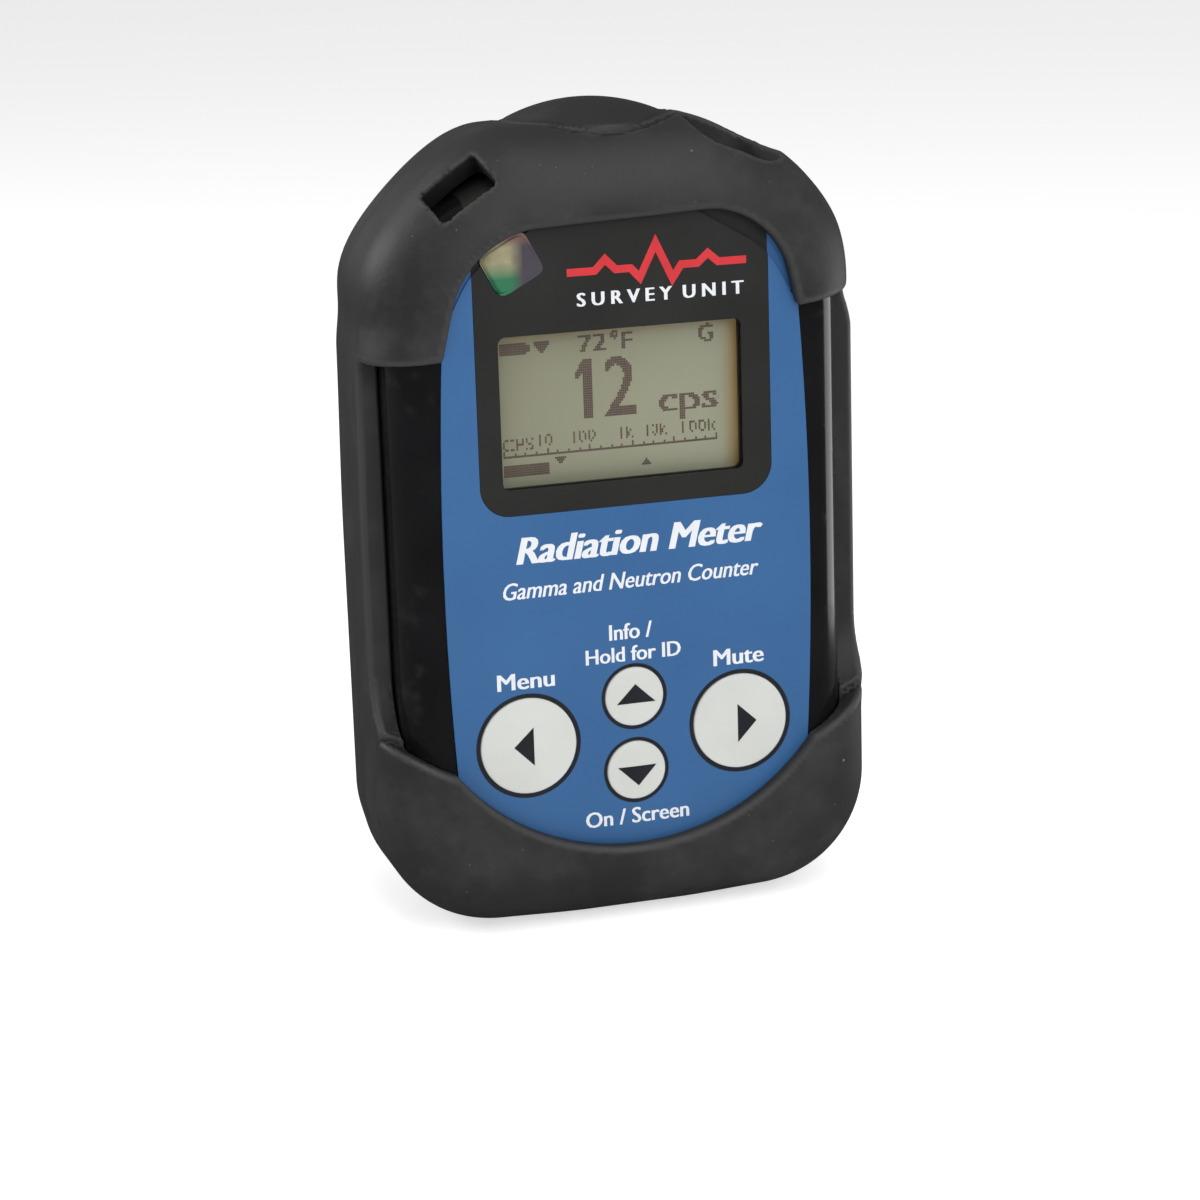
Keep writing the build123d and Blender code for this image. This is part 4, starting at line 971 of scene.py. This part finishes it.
def light_slot(x, y, z):
    """A sharp-edged oblong slot through the left shoulder, facing half forwards: its long
    sides run down the shoulder."""
    out = np.array([-0.508, -1.0, 0.862])
    out = out / np.linalg.norm(out)
    run = np.array([-0.862, 0.0, -0.508])
    rise = np.cross(out, run)
    place = [p - middle for p, middle in zip((x, y, z), slot_place)]
    along = np.abs(sum(p * c for p, c in zip(place, run))) - slot_half[0]
    up = np.abs(sum(p * c for p, c in zip(place, rise))) - slot_half[1]
    depth = sum(p * c for p, c in zip(place, out))
    return np.maximum(slab(along, up, slot_corner), -slot_depth - depth)


def sound_opening(x, y, z):
    """An oval opening over the sounder's grille, cut square to the right shoulder's upper
    bevel: |run/a|^3 + |y/b|^3 = 1 along the bevel and through the meter's depth."""
    place_x, place_y, place_z = sound_place
    across = (ridge_facing[1], -ridge_facing[0])
    run = slanted(x, z, (place_x, place_z), across)
    out = slanted(x, z, (place_x, place_z), ridge_facing)
    half_run, half_y = sound_half
    oval = (np.abs(run / half_run) ** 3 + np.abs((y - place_y) / half_y) ** 3) ** (1 / 3) - 1
    return np.maximum(oval * half_run, -sound_depth - out)


def boot_field(x, y, z):
    """Distance to the whole boot: the outside and the dome, less each opening and its lip."""
    outside = boot_outside(x, y, z)
    from_rim = np.hypot(x - dome_centre, y) - dome_half - crease_gap
    crease = np.hypot(from_rim, outside) - crease_radius
    skin = np.minimum(rounded_max(outside, -crease, 0.2), grip_dome(x, y, z))
    skin = rounded_max(skin, -boot_mouth(x, y, z), lip_radius)
    skin = rounded_max(skin, -back_window(x, y, z), lip_radius)
    skin = rounded_max(skin, -light_slot(x, y, z), 0.35)
    skin = rounded_max(skin, -sound_opening(x, y, z), 0.6)
    hollow = np.maximum(case_inside(x, y, z) - 0.1, outside + least_wall)
    return rounded_max(skin, -hollow, 0.3)


def slope_of(field, points, reach=0.02):
    """The gradient of a field at points, by central differences."""
    steps = reach * np.eye(3)
    rises = [field(*(points + s).T) - field(*(points - s).T) for s in steps]
    return np.stack(rises, 1) / (2 * reach)


def skin_of(field, low, high, step):
    """The surface where a field is zero, as corners and four-sided faces.

    One corner stands in each cell of a regular grid that the surface crosses, at the mean
    of the places where it cuts the cell's edges, and is then moved along the gradient onto
    the surface; a face joins the four cells round each grid edge that is cut.
    """
    axes = [np.arange(a, b + step, step) for a, b in zip(low, high)]
    values = field(*np.meshgrid(*axes, indexing="ij"))
    solid = values < 0
    cells = np.array(values.shape) - 1
    total = np.zeros((*cells, 3))
    cuts = np.zeros(cells)
    for axis in range(3):
        first = [slice(None)] * 3
        second = [slice(None)] * 3
        first[axis] = slice(0, -1)
        second[axis] = slice(1, None)
        before, after = values[tuple(first)], values[tuple(second)]
        crossed = solid[tuple(first)] != solid[tuple(second)]
        share = np.where(crossed, before / np.where(crossed, before - after, 1), 0)
        others = [k for k in range(3) if k != axis]
        for i in (0, 1):
            for j in (0, 1):
                part = [slice(None)] * 3
                part[others[0]] = slice(i, cells[others[0]] + i)
                part[others[1]] = slice(j, cells[others[1]] + j)
                cut = crossed[tuple(part)]
                cuts += cut
                total[..., axis] += cut * share[tuple(part)]
                total[..., others[0]] += cut * i
                total[..., others[1]] += cut * j
    used = cuts > 0
    number = np.full(used.shape, -1)
    number[used] = np.arange(used.sum())
    points = (total[used] / cuts[used][:, None] + np.argwhere(used)) * step + np.array(low)
    faces = []
    for axis in range(3):
        first = [slice(None)] * 3
        second = [slice(None)] * 3
        first[axis] = slice(0, -1)
        second[axis] = slice(1, None)
        crossed = solid[tuple(first)] != solid[tuple(second)]
        edges = np.argwhere(crossed)
        outward = solid[tuple(first)][crossed]
        u = np.eye(3, dtype=int)[(axis + 1) % 3]
        v = np.eye(3, dtype=int)[(axis + 2) % 3]
        around = [number[tuple((edges - d).T)] for d in (u + v, v, 0 * u, u)]
        quads = np.stack(around, 1)
        quads[~outward] = quads[~outward][:, ::-1]
        faces.append(quads)
    for _ in range(4):
        slope = slope_of(field, points)
        move = (field(*points.T) / np.maximum((slope**2).sum(1), 0.2))[:, None] * slope
        length = np.linalg.norm(move, axis=1)
        points = points - move * np.minimum(1, 0.3 * step / np.maximum(length, 1e-9))[:, None]
    return points, np.concatenate(faces)


grid_step = 0.56
margin = 1.2
points, quads = skin_of(
    boot_field,
    (boot_low.x - margin, boot_low.y - margin, boot_low.z - margin),
    (boot_high.x + margin, boot_high.y + margin, boot_high.z + margin),
    grid_step,
)
normals = slope_of(boot_field, points)
normals /= np.linalg.norm(normals, axis=1)[:, None]
reach = 0.5
bend = sum(
    boot_field(*(points + reach * side * axis).T) for axis in np.eye(3) for side in (-1, 1)
) - 6 * boot_field(*points.T)
bend = bend / reach**2

boot_mesh = bpy.data.meshes.new("soft_boot")
boot_mesh.from_pydata((points * mm).tolist(), [], quads.tolist())
boot_mesh.shade_smooth()
boot_mesh.normals_split_custom_set_from_vertices(normals.tolist())
# Convex places, by the field's bend: the rubber is lighter there, partly as wear on the edges and
# partly as a painted highlight on the lips.
wear_and_highlight = boot_mesh.attributes.new("wear_and_highlight", "FLOAT", "POINT")
wear_and_highlight.data.foreach_set("value", np.clip((bend - 0.25) / 0.9, 0, 1).astype(np.float32))
# Concave places, by the field's bend, kept as hollow: painted shade in the boot's corners and
# recesses.
hollow = boot_mesh.attributes.new("hollow", "FLOAT", "POINT")
hollow.data.foreach_set("value", np.clip((-bend - 0.2) / 0.9, 0, 1).astype(np.float32))

rubber_black = (0.02, 0.02, 0.021)
# Lighter tone of convex edges: part wear, part painted highlight.
wear_and_highlight_tone = (0.062, 0.06, 0.059)
# Darker tone for corners and recesses: painted shade.
painted_recess_shade = (0.01, 0.01, 0.011)
dusty = (0.04, 0.039, 0.038)
speck_pale = (0.22, 0.21, 0.2)
lint_grey = (0.11, 0.11, 0.11)
rubber = finish("black_rubber", rubber_black, 0.55, 0.0, 0.14, 55.0, 1300.0, 0.03)
wear_and_highlight_value = rubber.node_tree.nodes.new("ShaderNodeAttribute")
wear_and_highlight_value.attribute_name = "wear_and_highlight"
# Convex edges painted lighter: part wear, part painted highlight.
lay_over(rubber, wear_and_highlight_value.outputs["Fac"], wear_and_highlight_tone, 0.15, 1.6)
painted_shade_value = rubber.node_tree.nodes.new("ShaderNodeAttribute")
painted_shade_value.attribute_name = "hollow"
# Corners and recesses painted darker: painted shade.
lay_over(rubber, painted_shade_value.outputs["Fac"], painted_recess_shade, 0.0, 1.0)
dust = pattern_node(rubber, "ShaderNodeTexNoise", 70.0)
dust.inputs["Detail"].default_value = 9.0
dust.inputs["Roughness"].default_value = 0.68
lay_over(rubber, dust.outputs["Fac"], dusty, 0.48, 0.74, 0.68)
specks = pattern_node(rubber, "ShaderNodeTexVoronoi", 110.0)
lay_over(rubber, specks.outputs["Distance"], speck_pale, 0.03, 0.015, 0.8)
lint = pattern_node(rubber, "ShaderNodeTexVoronoi", 420.0)
lay_over(rubber, lint.outputs["Distance"], lint_grey, 0.045, 0.03, 0.8)
boot_mesh.materials.append(rubber)
soft_boot = bpy.data.objects.new("soft_boot", boot_mesh)
bpy.context.scene.collection.objects.link(soft_boot)
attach(soft_boot, "case")
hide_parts("rubber_boot")
